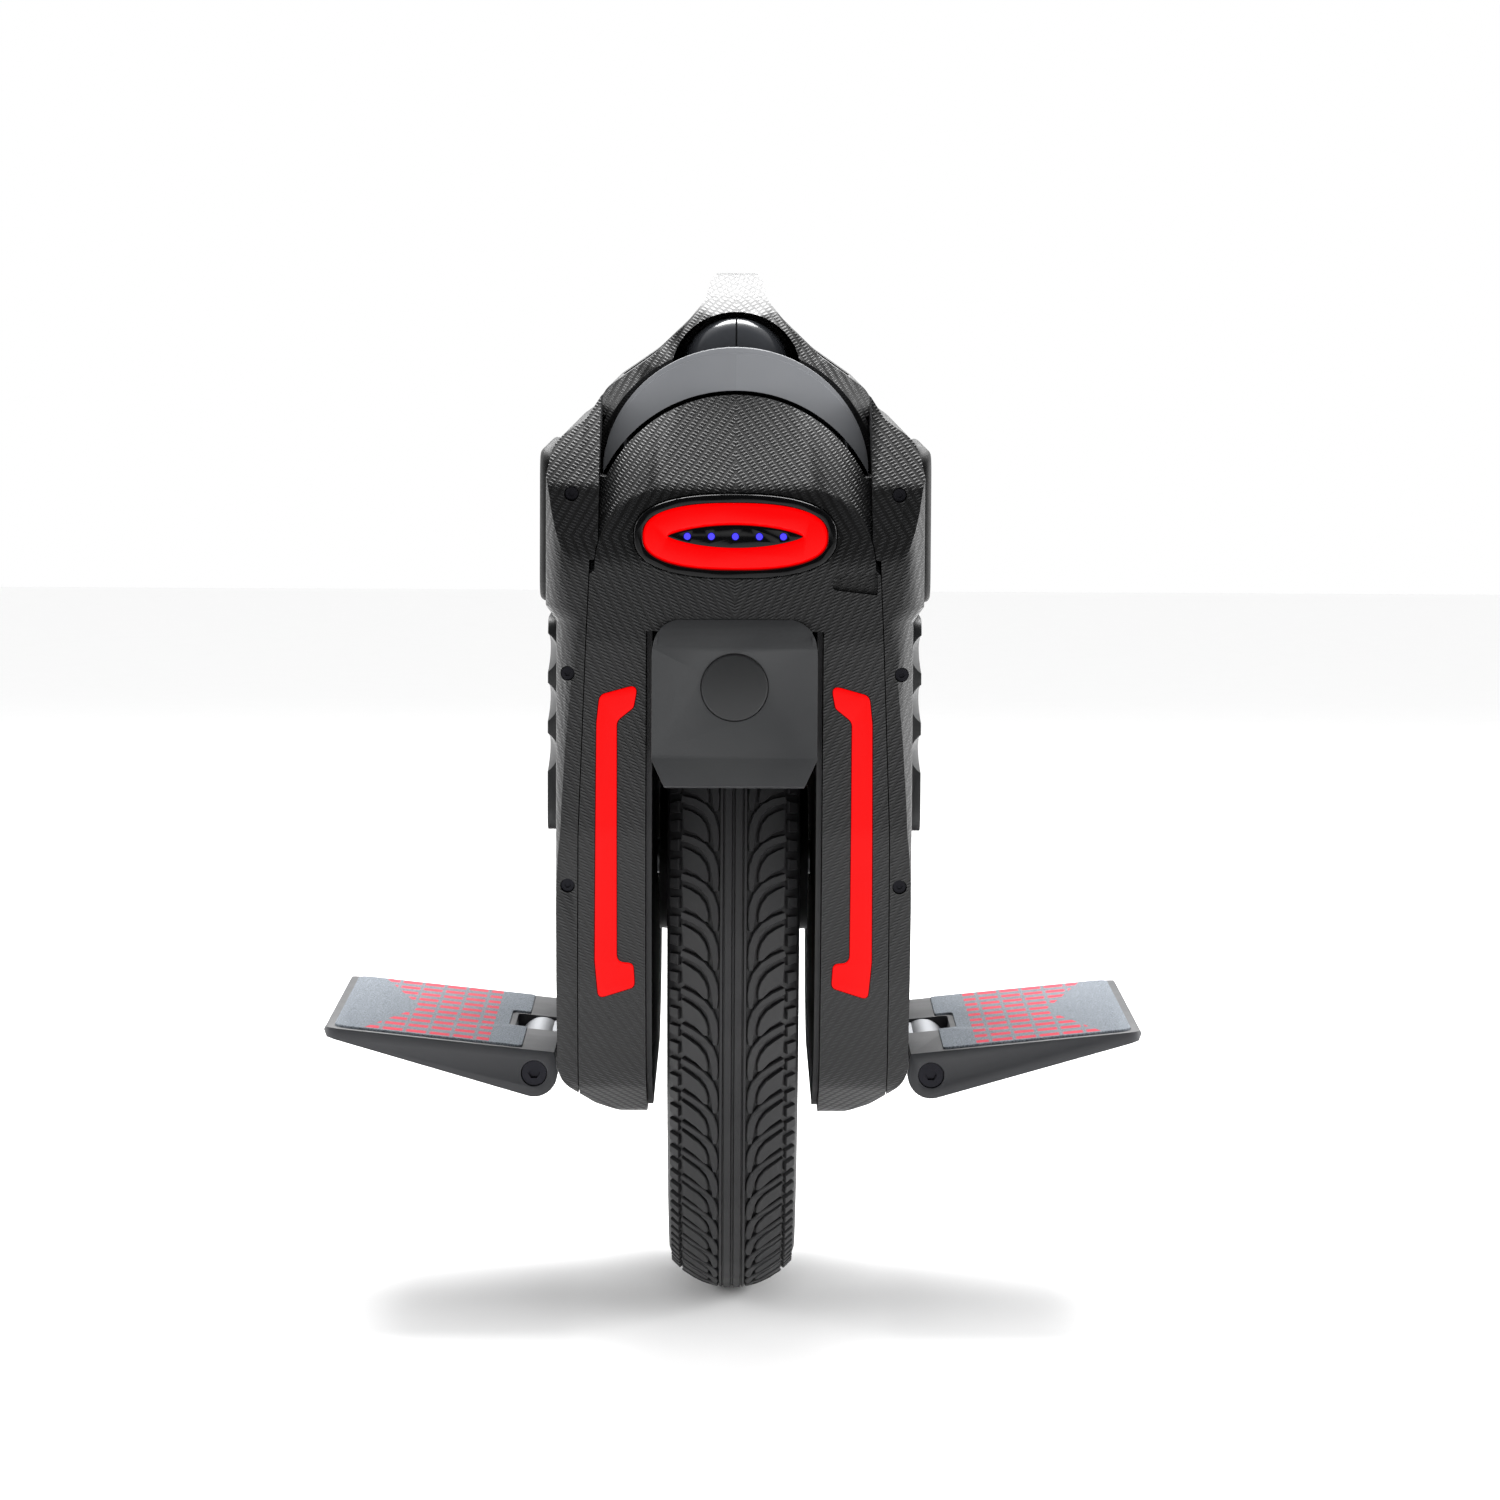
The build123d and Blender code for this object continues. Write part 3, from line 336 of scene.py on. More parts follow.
@dataclass(frozen=True)
class Finish:
    """A surface: what it is made of and how it was made. Every finish adds its own pattern.

    dark and light are the two ends of its colour variation; grain_mm is the size of its
    texture, relief_mm how deep it is, and rough the pair of roughness values it varies between.
    """
    name: str
    dark: str
    light: str
    rough: Point2 = (0.4, 0.5)
    grain_mm: float = 0.6
    relief_mm: float = 0.02
    metallic: float = 0.0
    ior: float = 1.5
    coat: float = 0.0
    specular: float = 0.5

    def shader(self, tree: bpy.types.NodeTree) -> bpy.types.Node:
        """The surface shader with its constant values set on its own sockets."""
        shader = put(tree, "BsdfPrincipled", {"Metallic": self.metallic, "IOR": self.ior,
                                              "Coat Weight": self.coat, "Specular IOR Level": self.specular})
        out = put(tree, "OutputMaterial")
        tree.links.new(shader.outputs[0], out.inputs[0])
        return shader

    def place(self, tree: bpy.types.NodeTree) -> bpy.types.NodeSocket:
        """The piece's own coordinates, in metres."""
        return put(tree, "TexCoord").outputs["Object"]

    def pattern(self, tree: bpy.types.NodeTree, shader: bpy.types.Node) -> None:
        """Fine moulded grain with slow colour variation: what most plastics and metals show."""
        place = self.place(tree)
        grain = put(tree, "TexNoise", {"Vector": place, "Scale": 1 / (self.grain_mm * MM), "Detail": 3.0,
                                       "Roughness": 0.6})
        drift = put(tree, "TexNoise", {"Vector": place, "Scale": 28.0, "Detail": 4.0})
        blend = put(tree, "Mix", {"Factor": drift.outputs["Fac"], 6: linear(self.dark), 7: linear(self.light)},
                    data_type="RGBA")
        tree.links.new(blend.outputs[2], shader.inputs["Base Color"])
        rough = put(tree, "MapRange", {"Value": drift.outputs["Fac"], "From Min": 0.3, "From Max": 0.7,
                                       "To Min": self.rough[0], "To Max": self.rough[1]})
        tree.links.new(rough.outputs[0], shader.inputs["Roughness"])
        bump = put(tree, "Bump", {"Height": grain.outputs["Fac"], "Distance": self.relief_mm * MM, "Strength": 0.8})
        tree.links.new(bump.outputs[0], shader.inputs["Normal"])

    def material(self) -> bpy.types.Material:
        """The finished material, made once and shared."""
        found = bpy.data.materials.get(self.name)
        if found:
            return found
        made = bpy.data.materials.new(self.name)
        made.use_nodes = True
        made.node_tree.nodes.clear()
        self.pattern(made.node_tree, self.shader(made.node_tree))
        return made


@dataclass(frozen=True)
class Twill(Finish):
    """ABS moulded with a woven relief: slanted ribs, each a stack of short cross floats."""
    pitch_mm: float = 4.4
    float_mm: float = 1.5
    turn_mm: float = 389.0

    def pattern(self, tree: bpy.types.NodeTree, shader: bpy.types.Node) -> None:
        """Ribs that mirror at the middle; neighbouring ribs shift their floats by half a step."""
        place = self.place(tree)
        axes = put(tree, "SeparateXYZ", {0: place})
        across = put(tree, "Math", {0: axes.outputs[0]}, operation="ABSOLUTE")
        across = put(tree, "Math", {0: axes.outputs[1], 1: 0.3, 2: across.outputs[0]}, operation="MULTIPLY_ADD")
        rise = put(tree, "Math", {0: axes.outputs[2], 1: self.turn_mm * MM}, operation="SUBTRACT")
        rise = put(tree, "Math", {0: rise.outputs[0]}, operation="ABSOLUTE")
        slant = put(tree, "Math", {0: rise.outputs[0], 1: 0.5, 2: across.outputs[0]}, operation="MULTIPLY_ADD")
        rib_phase = put(tree, "Math", {0: slant.outputs[0], 1: 1 / (self.pitch_mm * MM)}, operation="MULTIPLY")
        rib = put(tree, "Math", {0: rib_phase.outputs[0], 1: 0.5}, operation="PINGPONG")
        rib = put(tree, "MapRange", {"Value": rib.outputs[0], "From Min": 0.08, "From Max": 0.3},
                  interpolation_type="SMOOTHSTEP")
        stagger = put(tree, "Math", {0: rib_phase.outputs[0]}, operation="FLOOR")
        rise = put(tree, "Math", {0: across.outputs[0], 1: -0.45, 2: axes.outputs[2]}, operation="MULTIPLY_ADD")
        rise = put(tree, "Math", {0: rise.outputs[0], 1: 1 / (self.float_mm * MM)}, operation="MULTIPLY")
        rise = put(tree, "Math", {0: stagger.outputs[0], 1: 0.5, 2: rise.outputs[0]}, operation="MULTIPLY_ADD")
        dash = put(tree, "Math", {0: rise.outputs[0], 1: 0.5}, operation="PINGPONG")
        dash = put(tree, "MapRange", {"Value": dash.outputs[0], "From Min": 0.1, "From Max": 0.38},
                   interpolation_type="SMOOTHSTEP")
        weave = put(tree, "Math", {0: rib.outputs[0], 1: dash.outputs[0]}, operation="MULTIPLY")
        drift = put(tree, "TexNoise", {"Vector": place, "Scale": 16.0, "Detail": 3.0})
        strength = put(tree, "MapRange", {"Value": drift.outputs["Fac"], "From Min": 0.35, "From Max": 0.65,
                                          "To Min": 0.6, "To Max": 1.0})
        shown = put(tree, "Math", {0: weave.outputs[0], 1: strength.outputs[0]}, operation="MULTIPLY")
        blend = put(tree, "Mix", {"Factor": shown.outputs[0], 6: linear(self.dark), 7: linear(self.light)},
                    data_type="RGBA")
        tree.links.new(blend.outputs[2], shader.inputs["Base Color"])
        rough = put(tree, "MapRange", {"Value": weave.outputs[0], "To Min": self.rough[1], "To Max": self.rough[0]})
        tree.links.new(rough.outputs[0], shader.inputs["Roughness"])
        bump = put(tree, "Bump", {"Height": weave.outputs[0], "Distance": self.relief_mm * MM, "Strength": 0.8})
        tree.links.new(bump.outputs[0], shader.inputs["Normal"])


@dataclass(frozen=True)
class Brushed(Finish):
    """Metal drawn or brushed one way: the grain is stretched along its axis."""
    stretch: Point3 = (1, 1, 0.03)

    def place(self, tree: bpy.types.NodeTree) -> bpy.types.NodeSocket:
        """The piece's coordinates, stretched along the grain."""
        coordinates = put(tree, "TexCoord")
        return put(tree, "Mapping", {"Vector": coordinates.outputs["Object"], "Scale": self.stretch}).outputs[0]


@dataclass(frozen=True)
class Glow(Finish):
    """A lit diffuser: milky plastic with the lamp's light behind it."""
    strength: float = 3.0
    deep: str = "#c00000"

    def pattern(self, tree: bpy.types.NodeTree, shader: bpy.types.Node) -> None:
        """Light that varies slowly along the diffuser, from the lamps behind it."""
        place = self.place(tree)
        drift = put(tree, "TexNoise", {"Vector": place, "Scale": 45.0, "Detail": 2.0})
        blend = put(tree, "Mix", {"Factor": drift.outputs["Fac"], 6: linear(self.light), 7: linear(self.deep)},
                    data_type="RGBA")
        tree.links.new(blend.outputs[2], shader.inputs["Emission Color"])
        shader.inputs["Emission Strength"].default_value = self.strength
        shader.inputs["Base Color"].default_value = linear(self.dark)
        rough = put(tree, "MapRange", {"Value": drift.outputs["Fac"], "To Min": self.rough[0],
                                       "To Max": self.rough[1]})
        tree.links.new(rough.outputs[0], shader.inputs["Roughness"])


@dataclass(frozen=True)
class ClearLens(Finish):
    """Clear moulded polycarbonate: smooth, with a trace of flow lines."""

    def pattern(self, tree: bpy.types.NodeTree, shader: bpy.types.Node) -> None:
        """Transparent, with a faint ripple from the mould."""
        super().pattern(tree, shader)
        shader.inputs["Transmission Weight"].default_value = 0.94


@dataclass(frozen=True)
class GritTape(Finish):
    """Silicon carbide grit on tape, with rows of printed dashes ending in a swallow tail."""
    mark: str = "#e0304a"
    row_mm: float = 19.5
    dash_mm: float = 11.5
    start_mm: float = 119.5
    tail_mm: float = 158.0

    def pattern(self, tree: bpy.types.NodeTree, shader: bpy.types.Node) -> None:
        """Speckled grit, and dashes placed by the piece's own coordinates."""
        place = self.place(tree)
        grit = put(tree, "TexNoise", {"Vector": place, "Scale": 1 / (self.grain_mm * MM), "Detail": 4.0,
                                      "Roughness": 0.75})
        speck = put(tree, "MapRange", {"Value": grit.outputs["Fac"], "From Min": 0.38, "From Max": 0.64})
        blend = put(tree, "Mix", {"Factor": speck.outputs[0], 6: linear(self.dark), 7: linear(self.light)},
                    data_type="RGBA")
        sides = put(tree, "VectorMath", {0: place}, operation="ABSOLUTE")
        reach = put(tree, "SeparateXYZ", {0: sides.outputs[0]})
        row = put(tree, "Math", {0: reach.outputs[1], 1: 1 / (self.row_mm * MM)}, operation="MULTIPLY")
        row = put(tree, "Math", {0: row.outputs[0], 1: -0.5}, operation="ADD")
        row = put(tree, "Math", {0: row.outputs[0], 1: 0.5}, operation="PINGPONG")
        in_row = put(tree, "MapRange", {"Value": row.outputs[0], "From Min": 0.2, "From Max": 0.26, "To Min": 1.0,
                                        "To Max": 0.0})
        step = put(tree, "Math", {0: reach.outputs[0], 1: 1 / (self.dash_mm * MM)}, operation="MULTIPLY")
        step = put(tree, "Math", {0: step.outputs[0], 1: 0.5}, operation="PINGPONG")
        in_dash = put(tree, "MapRange", {"Value": step.outputs[0], "From Min": 0.04, "From Max": 0.12})
        tail = put(tree, "Math", {0: reach.outputs[1], 1: 0.24, 2: self.tail_mm * MM}, operation="MULTIPLY_ADD")
        inside = put(tree, "Math", {0: reach.outputs[0], 1: tail.outputs[0]}, operation="LESS_THAN")
        begun = put(tree, "Math", {0: reach.outputs[0], 1: self.start_mm * MM}, operation="GREATER_THAN")
        shown = in_row.outputs[0]
        for gate in (in_dash.outputs[0], inside.outputs[0], begun.outputs[0]):
            shown = put(tree, "Math", {0: shown, 1: gate}, operation="MULTIPLY").outputs[0]
        worn = put(tree, "MapRange", {"Value": grit.outputs["Fac"], "From Min": 0.3, "From Max": 0.5,
                                      "To Min": 0.45, "To Max": 0.95})
        shown = put(tree, "Math", {0: shown, 1: worn.outputs[0]}, operation="MULTIPLY").outputs[0]
        painted = put(tree, "Mix", {"Factor": shown, 6: blend.outputs[2], 7: linear(self.mark)}, data_type="RGBA")
        tree.links.new(painted.outputs[2], shader.inputs["Base Color"])
        rough = put(tree, "MapRange", {"Value": grit.outputs["Fac"], "To Min": self.rough[0],
                                       "To Max": self.rough[1]})
        tree.links.new(rough.outputs[0], shader.inputs["Roughness"])
        bump = put(tree, "Bump", {"Height": grit.outputs["Fac"], "Distance": self.relief_mm * MM, "Strength": 0.9})
        tree.links.new(bump.outputs[0], shader.inputs["Normal"])


# Moulded ABS with a twill relief, nearly black with grey ribs.
TWILL = Twill("abs_moulded_twill", "#050506", "#17181a", (0.3, 0.5), relief_mm=0.17)
# Plain moulded ABS, spark-eroded to a satin.
SATIN = Finish("abs_moulded_satin", "#1a1b1c", "#202123", (0.42, 0.52), 0.5, 0.015)
# The mudguards are a lighter grey of the same moulded ABS.
GUARD_SATIN = Finish("abs_moulded_guard", "#303133", "#393a3b", (0.42, 0.52), 0.5, 0.015)
# The trolley grip is grey ABS. Its colour is partly its own grey and partly painted light, made lighter to stand in for
# the light falling on it from above.
GRIP_GREY_AND_PAINTED_LIGHT = Finish("abs_moulded_grip_grey_and_painted_light", "#7c7e82", "#888a8e", (0.34, 0.42), 0.4, 0.008)
# Polished black ABS: mirror-like, with a trace of orange peel.
GLOSS = Finish("abs_polished_black", "#040405", "#070708", (0.1, 0.18), 4.0, 0.01, specular=0.22)
# Polished black ABS, glossy enough to mirror the lights above, its colour lightened to dark grey as painted reflection.
GLOSS_BLACK_PAINTED_REFLECTION = Finish("abs_polished_black_painted_reflection", "#34363a", "#3e4044", (0.16, 0.24), 4.0, 0.01, coat=0.4)
# Moulded polypropylene: dull and slightly waxy.
LINER = Finish("polypropylene_moulded", "#101012", "#18181b", (0.5, 0.65), 0.8, 0.03)
# Vulcanised tread rubber: matt, a little bloomed.
TYRE = Finish("rubber_vulcanised_tread", "#0f0f10", "#17171a", (0.5, 0.66), 0.5, 0.03, ior=1.52)
# Butyl rubber, smooth and black.
TUBE = Finish("butyl_rubber", "#0e0e10", "#151517", (0.6, 0.75), 0.6, 0.01, ior=1.52)
# Moulded rubber of the side grips: matt, soft-edged highlights.
PAD = Finish("rubber_moulded_pad", "#0c0c0d", "#121213", (0.6, 0.74), 0.7, 0.05, ior=1.52)
# Cast aluminium under black or grey powder coat, with its fine orange peel.
MOTOR = Finish("aluminium_powder_coated", "#1b1c1f", "#26272a", (0.42, 0.55), 0.35, 0.02)
PEDAL = Finish("aluminium_cast_powder_coated", "#26272a", "#313236", (0.38, 0.5), 0.45, 0.025)
# Forged aluminium, bead blasted to an even grey sheen.
HANGER = Finish("aluminium_forged_bead_blasted", "#8e9094", "#a4a6a9", (0.42, 0.55), 0.4, 0.02, metallic=1.0)
# Drawn or turned metal, whose fine lines run along or round the work.
TUBE_METAL = Brushed("aluminium_drawn_anodised", "#6a6c70", "#808286", (0.25, 0.38), 0.4, 0.006, metallic=1.0)
AXLE = Brushed("steel_turned", "#8a8b8e", "#a0a1a4", (0.25, 0.4), 0.5, 0.006, metallic=1.0, stretch=(1, 0.05, 0.05))
# Oxide-blackened and plated steel.
SCREW = Finish("steel_black_oxide", "#1c1c1f", "#333338", (0.25, 0.4), 0.3, 0.01, metallic=1.0)
MAGNET = Finish("nickel_plated", "#a8a59c", "#bab7ae", (0.15, 0.25), 0.8, 0.004, metallic=1.0)
STEEL_STACK = Brushed("electrical_steel_laminated", "#4e5054", "#6c6e72", (0.4, 0.55), 0.5, 0.02, metallic=1.0,
                      stretch=(1, 0.02, 0.02))
# Enamelled copper wire: orange-brown with a gloss.
COPPER = Brushed("copper_enamelled_wire", "#9a4a20", "#b8622e", (0.25, 0.4), 0.8, 0.05, metallic=1.0)
# Lit acrylic diffusers, and the light of the LEDs.
RED_GLOW = Glow("acrylic_red_diffuser", "#140000", "#ff0000", (0.3, 0.4), strength=1.0, deep="#fa0004", specular=0.12)
WHITE_GLOW = Glow("acrylic_white_diffuser", "#c8ccd0", "#f4f8ff", (0.25, 0.35), strength=0.5, deep="#dfe8f5")
BLUE_GLOW = Glow("led_blue", "#10107a", "#5148ff", (0.2, 0.3), strength=1.2, deep="#3a2cff")
# Vapour-coated reflector and the clear lens in front of it.
REFLECTOR = Finish("aluminium_vapour_coated", "#c8cacc", "#dcdee0", (0.08, 0.15), 2.0, 0.01, metallic=1.0)
LENS = ClearLens("polycarbonate_clear", "#e8ecf0", "#f4f6f8", (0.03, 0.06), 6.0, 0.004, ior=1.585)
# Silicon carbide grit on a printed sheet: rough, with bright specks.
TAPE = GritTape("grit_tape_printed", "#4e545b", "#9aa2ab", (0.75, 0.95), 0.7, 0.3)
# The parts inside the shell.
WRAP = Finish("pvc_shrink_wrap", "#123a6e", "#1a4a86", (0.2, 0.35), 3.0, 0.05)
BOARD = Finish("glass_epoxy_laminate", "#0c3a20", "#12502c", (0.3, 0.45), 0.5, 0.01)
SINK = Brushed("aluminium_extruded_anodised", "#303236", "#3e4044", (0.35, 0.5), 0.5, 0.01, metallic=1.0)
FAN = Finish("pbt_moulded_black", "#121214", "#1b1b1e", (0.35, 0.5), 0.5, 0.01)
BUTTON = Finish("silicone_rubber_black", "#1a1a1d", "#242428", (0.5, 0.6), 0.4, 0.01)
SOCKET = Finish("brass_nickel_plated", "#8f8e8a", "#a8a6a0", (0.2, 0.35), 0.5, 0.005, metallic=1.0)

# Matt white paper on the floor.
PAPER = Finish("paper_matt_white", "#fafafa", "#fdfdfd", (0.7, 0.8), 3.0, 0.01)

CAD_FINISHES: dict[str, Finish] = {
    "tube_rubber": TUBE, "motor_aluminium": MOTOR, "axle_steel": AXLE, "screw_steel": SCREW,
    "magnet_nickel": MAGNET, "lamination_steel": STEEL_STACK, "winding_copper": COPPER,
    "hanger_alloy": HANGER, "liner_plastic": LINER, "weave_plastic": TWILL, "satin_plastic": SATIN,
    "gloss_black_plastic": GLOSS, "red_diffuser": RED_GLOW, "blue_led": BLUE_GLOW, "clear_lens": LENS,
    "white_diffuser": WHITE_GLOW, "lamp_reflector": REFLECTOR, "side_rubber": PAD, "pedal_alloy": PEDAL,
    "grip_tape": TAPE, "trolley_aluminium": TUBE_METAL, "battery_wrap": WRAP, "board_laminate": BOARD,
    "sink_aluminium": SINK, "fan_plastic": FAN, "button_plastic": BUTTON, "socket_metal": SOCKET,
    "tyre_rubber": TYRE,
}


def dress(piece: bpy.types.Object, finish: Finish) -> bpy.types.Object:
    """Give a piece one finish all over."""
    piece.data.materials.clear()
    piece.data.materials.append(finish.material())
    return piece


def hand_over(piece: bpy.types.Object, body: str, slot: str, *nodes: str) -> bpy.types.Object:
    """Say what a finished piece rides on, and hide the CAD nodes it stands for."""
    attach(piece, body)
    if nodes:
        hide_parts(*nodes)
    log.info("%s rides on %s with %d faces", piece.name, body, len(piece.data.polygons))
    return piece


# ---- the body's envelope -----------------------------------------------------------
@dataclass
class Envelope:
    """The body's smooth outer form, from its outlines in side and rear view."""
    side: list[tuple[Point2, float]] = field(default_factory=lambda: [
        ((62, 509.5), 30), ((102, 499), 40), ((150, 475.5), 60), ((217, 411), 14), ((226, 378), 30),
        ((226, 340), 60), ((219, 250), 60), ((204, 180), 50), ((178, 128), 40), ((120, 104), 60)])
    rear: list[tuple[Point2, float]] = field(default_factory=lambda: [
        ((10, 509.5), 1.5), ((12.5, 506.5), 2), ((15, 497), 8), ((24, 486), 15), ((40, 470.5), 30),
        ((61.5, 455.5), 12), ((70, 442), 8), ((85, 431.5), 18), ((88, 416), 8), ((88, 356), 3),
        ((83, 349), 3), ((83, 128), 20), ((66, 111.5), 15), ((52, 104), 12)])
    skin: float = 3.0
    corner: float = 16.0
    grip_base: float = 415.0
    barrel: Point2 = (66.0, 60.7)
    seam: list[Point2] = field(default_factory=lambda: [(66, 520), (66, 405), (69, 340), (72.5, 250), (73.5, 95)])

    def prism(self, name: str, view: View, inset: float, reach: float) -> bpy.types.Object:
        """One outline extruded both ways, drawn in by inset."""
        half = self.side if view is View.SIDE else self.rear
        points = both_sides([point for point, _ in half])
        radii = [radius for _, radius in half]
        outline = rounded(points, radii + radii[::-1], 8)
        return plate(name, draw_in(outline, inset), view, -reach, reach)

    def solid(self, name: str, inset: float) -> bpy.types.Object:
        """The whole envelope with soft vertical corners, drawn in by inset."""
        whole = self.prism(name, View.SIDE, inset, 95)
        combine(whole, self.prism("rear_prism", View.REAR, inset, 245), "INTERSECT")
        combine(whole, self.plan_prism(inset), "INTERSECT")
        return whole

    def plan_prism(self, inset: float) -> bpy.types.Object:
        """A tube that rounds the body's four vertical corners."""
        r = self.corner
        tiers = []
        for z, half_w, half_l in ((90, 83, 227), (349, 83, 227), (356, 88, 227), (520, 88, 227)):
            half_w, half_l = half_w - inset, half_l - inset
            ring = []
            for sx, sy, start in ((1, 1, 0), (-1, 1, 90), (-1, -1, 180), (1, -1, 270)):
                for step in range(9):
                    angle = math.radians(start + 90 * step / 8)
                    ring.append(((sx * (half_w - r) + r * math.cos(angle)) * MM,
                                 (sy * (half_l - r) + r * math.sin(angle)) * MM, z * MM))
            tiers.append(ring)
        return lofted("plan_prism", tiers)

    def barrel_prism(self, name: str, inset: float) -> bpy.types.Object:
        """The arch of the end covers, extruded the whole length."""
        half_w, half_h = self.barrel[0] - inset, self.barrel[1] - inset
        arch = [(half_w * math.cos(math.radians(a)), self.grip_base + half_h * math.sin(math.radians(a)))
                for a in range(0, 181, 4)]
        wide = 92
        outline = arch + [(-wide, self.grip_base), (-wide, 60), (wide, 60), (wide, self.grip_base)]
        return plate(name, outline, View.REAR, -300, 300)

    def brow_form(self, end: End, inset: float) -> bpy.types.Object:
        """The dome of an end cover: arches that shrink and square up towards the lamp's face."""
        tiers = []
        for y, half_w, base, top, power in ((100, 66.6, 415, 530, 2), (150, 66.6, 415, 477, 2),
                                            (184, 66.4, 399, 446, 2.3), (217, 66.0, 383, 413.5, 2.6),
                                            (231, 64.5, 368, 392, 2.6)):
            arch = [(x, z) for x, z in oval(half_w - inset, top - inset - base, power, (0, base), 96)
                    if z >= base - 0.01]
            arch.sort(key=lambda point: math.atan2(point[1] - base, point[0]))
            outline = arch + [(-92, base - 26), (-92, 60), (92, 60), (92, base - 26)]
            tiers.append([to_space(View.REAR, x, z, end.value * (y - inset)) for x, z in outline])
        return lofted("brow_form", tiers)

    def middle_prism(self, name: str, gap: float) -> bpy.types.Object:
        """The middle of the body between its two seams, widened by gap."""
        half = [(x + gap, z) for x, z in self.seam]
        return plate(name, both_sides(half), View.REAR, -300, 300)


def draw_in(outline: Sequence[Point2], inset: float) -> list[Point2]:
    """An outline drawn in by inset along its normals; a negative inset grows it."""
    if not inset:
        return list(outline)
    area = sum(a[0] * b[1] - b[0] * a[1] for a, b in zip(outline, list(outline[1:]) + [outline[0]]))
    turn = 1 if area > 0 else -1
    result = []
    for index, point in enumerate(outline):
        before, after = Vector(outline[index - 1]), Vector(outline[(index + 1) % len(outline)])
        along = (after - before).normalized()
        result.append((point[0] - turn * along.y * inset, point[1] + turn * along.x * inset))
    return result


def lofted(name: str, tiers: Sequence[Sequence[Point3]]) -> bpy.types.Object:
    """A closed solid through rings of equal count, from the lowest tier to the highest."""
    count = len(tiers[0])
    points = [point for ring in tiers for point in ring]
    faces = [list(range(count - 1, -1, -1)), list(range(len(points) - count, len(points)))]
    for tier in range(len(tiers) - 1):
        base = tier * count
        for i in range(count):
            j = (i + 1) % count
            faces.append([base + i, base + j, base + count + j, base + count + i])
    return tidy_mesh(raw_mesh(name, points, faces))


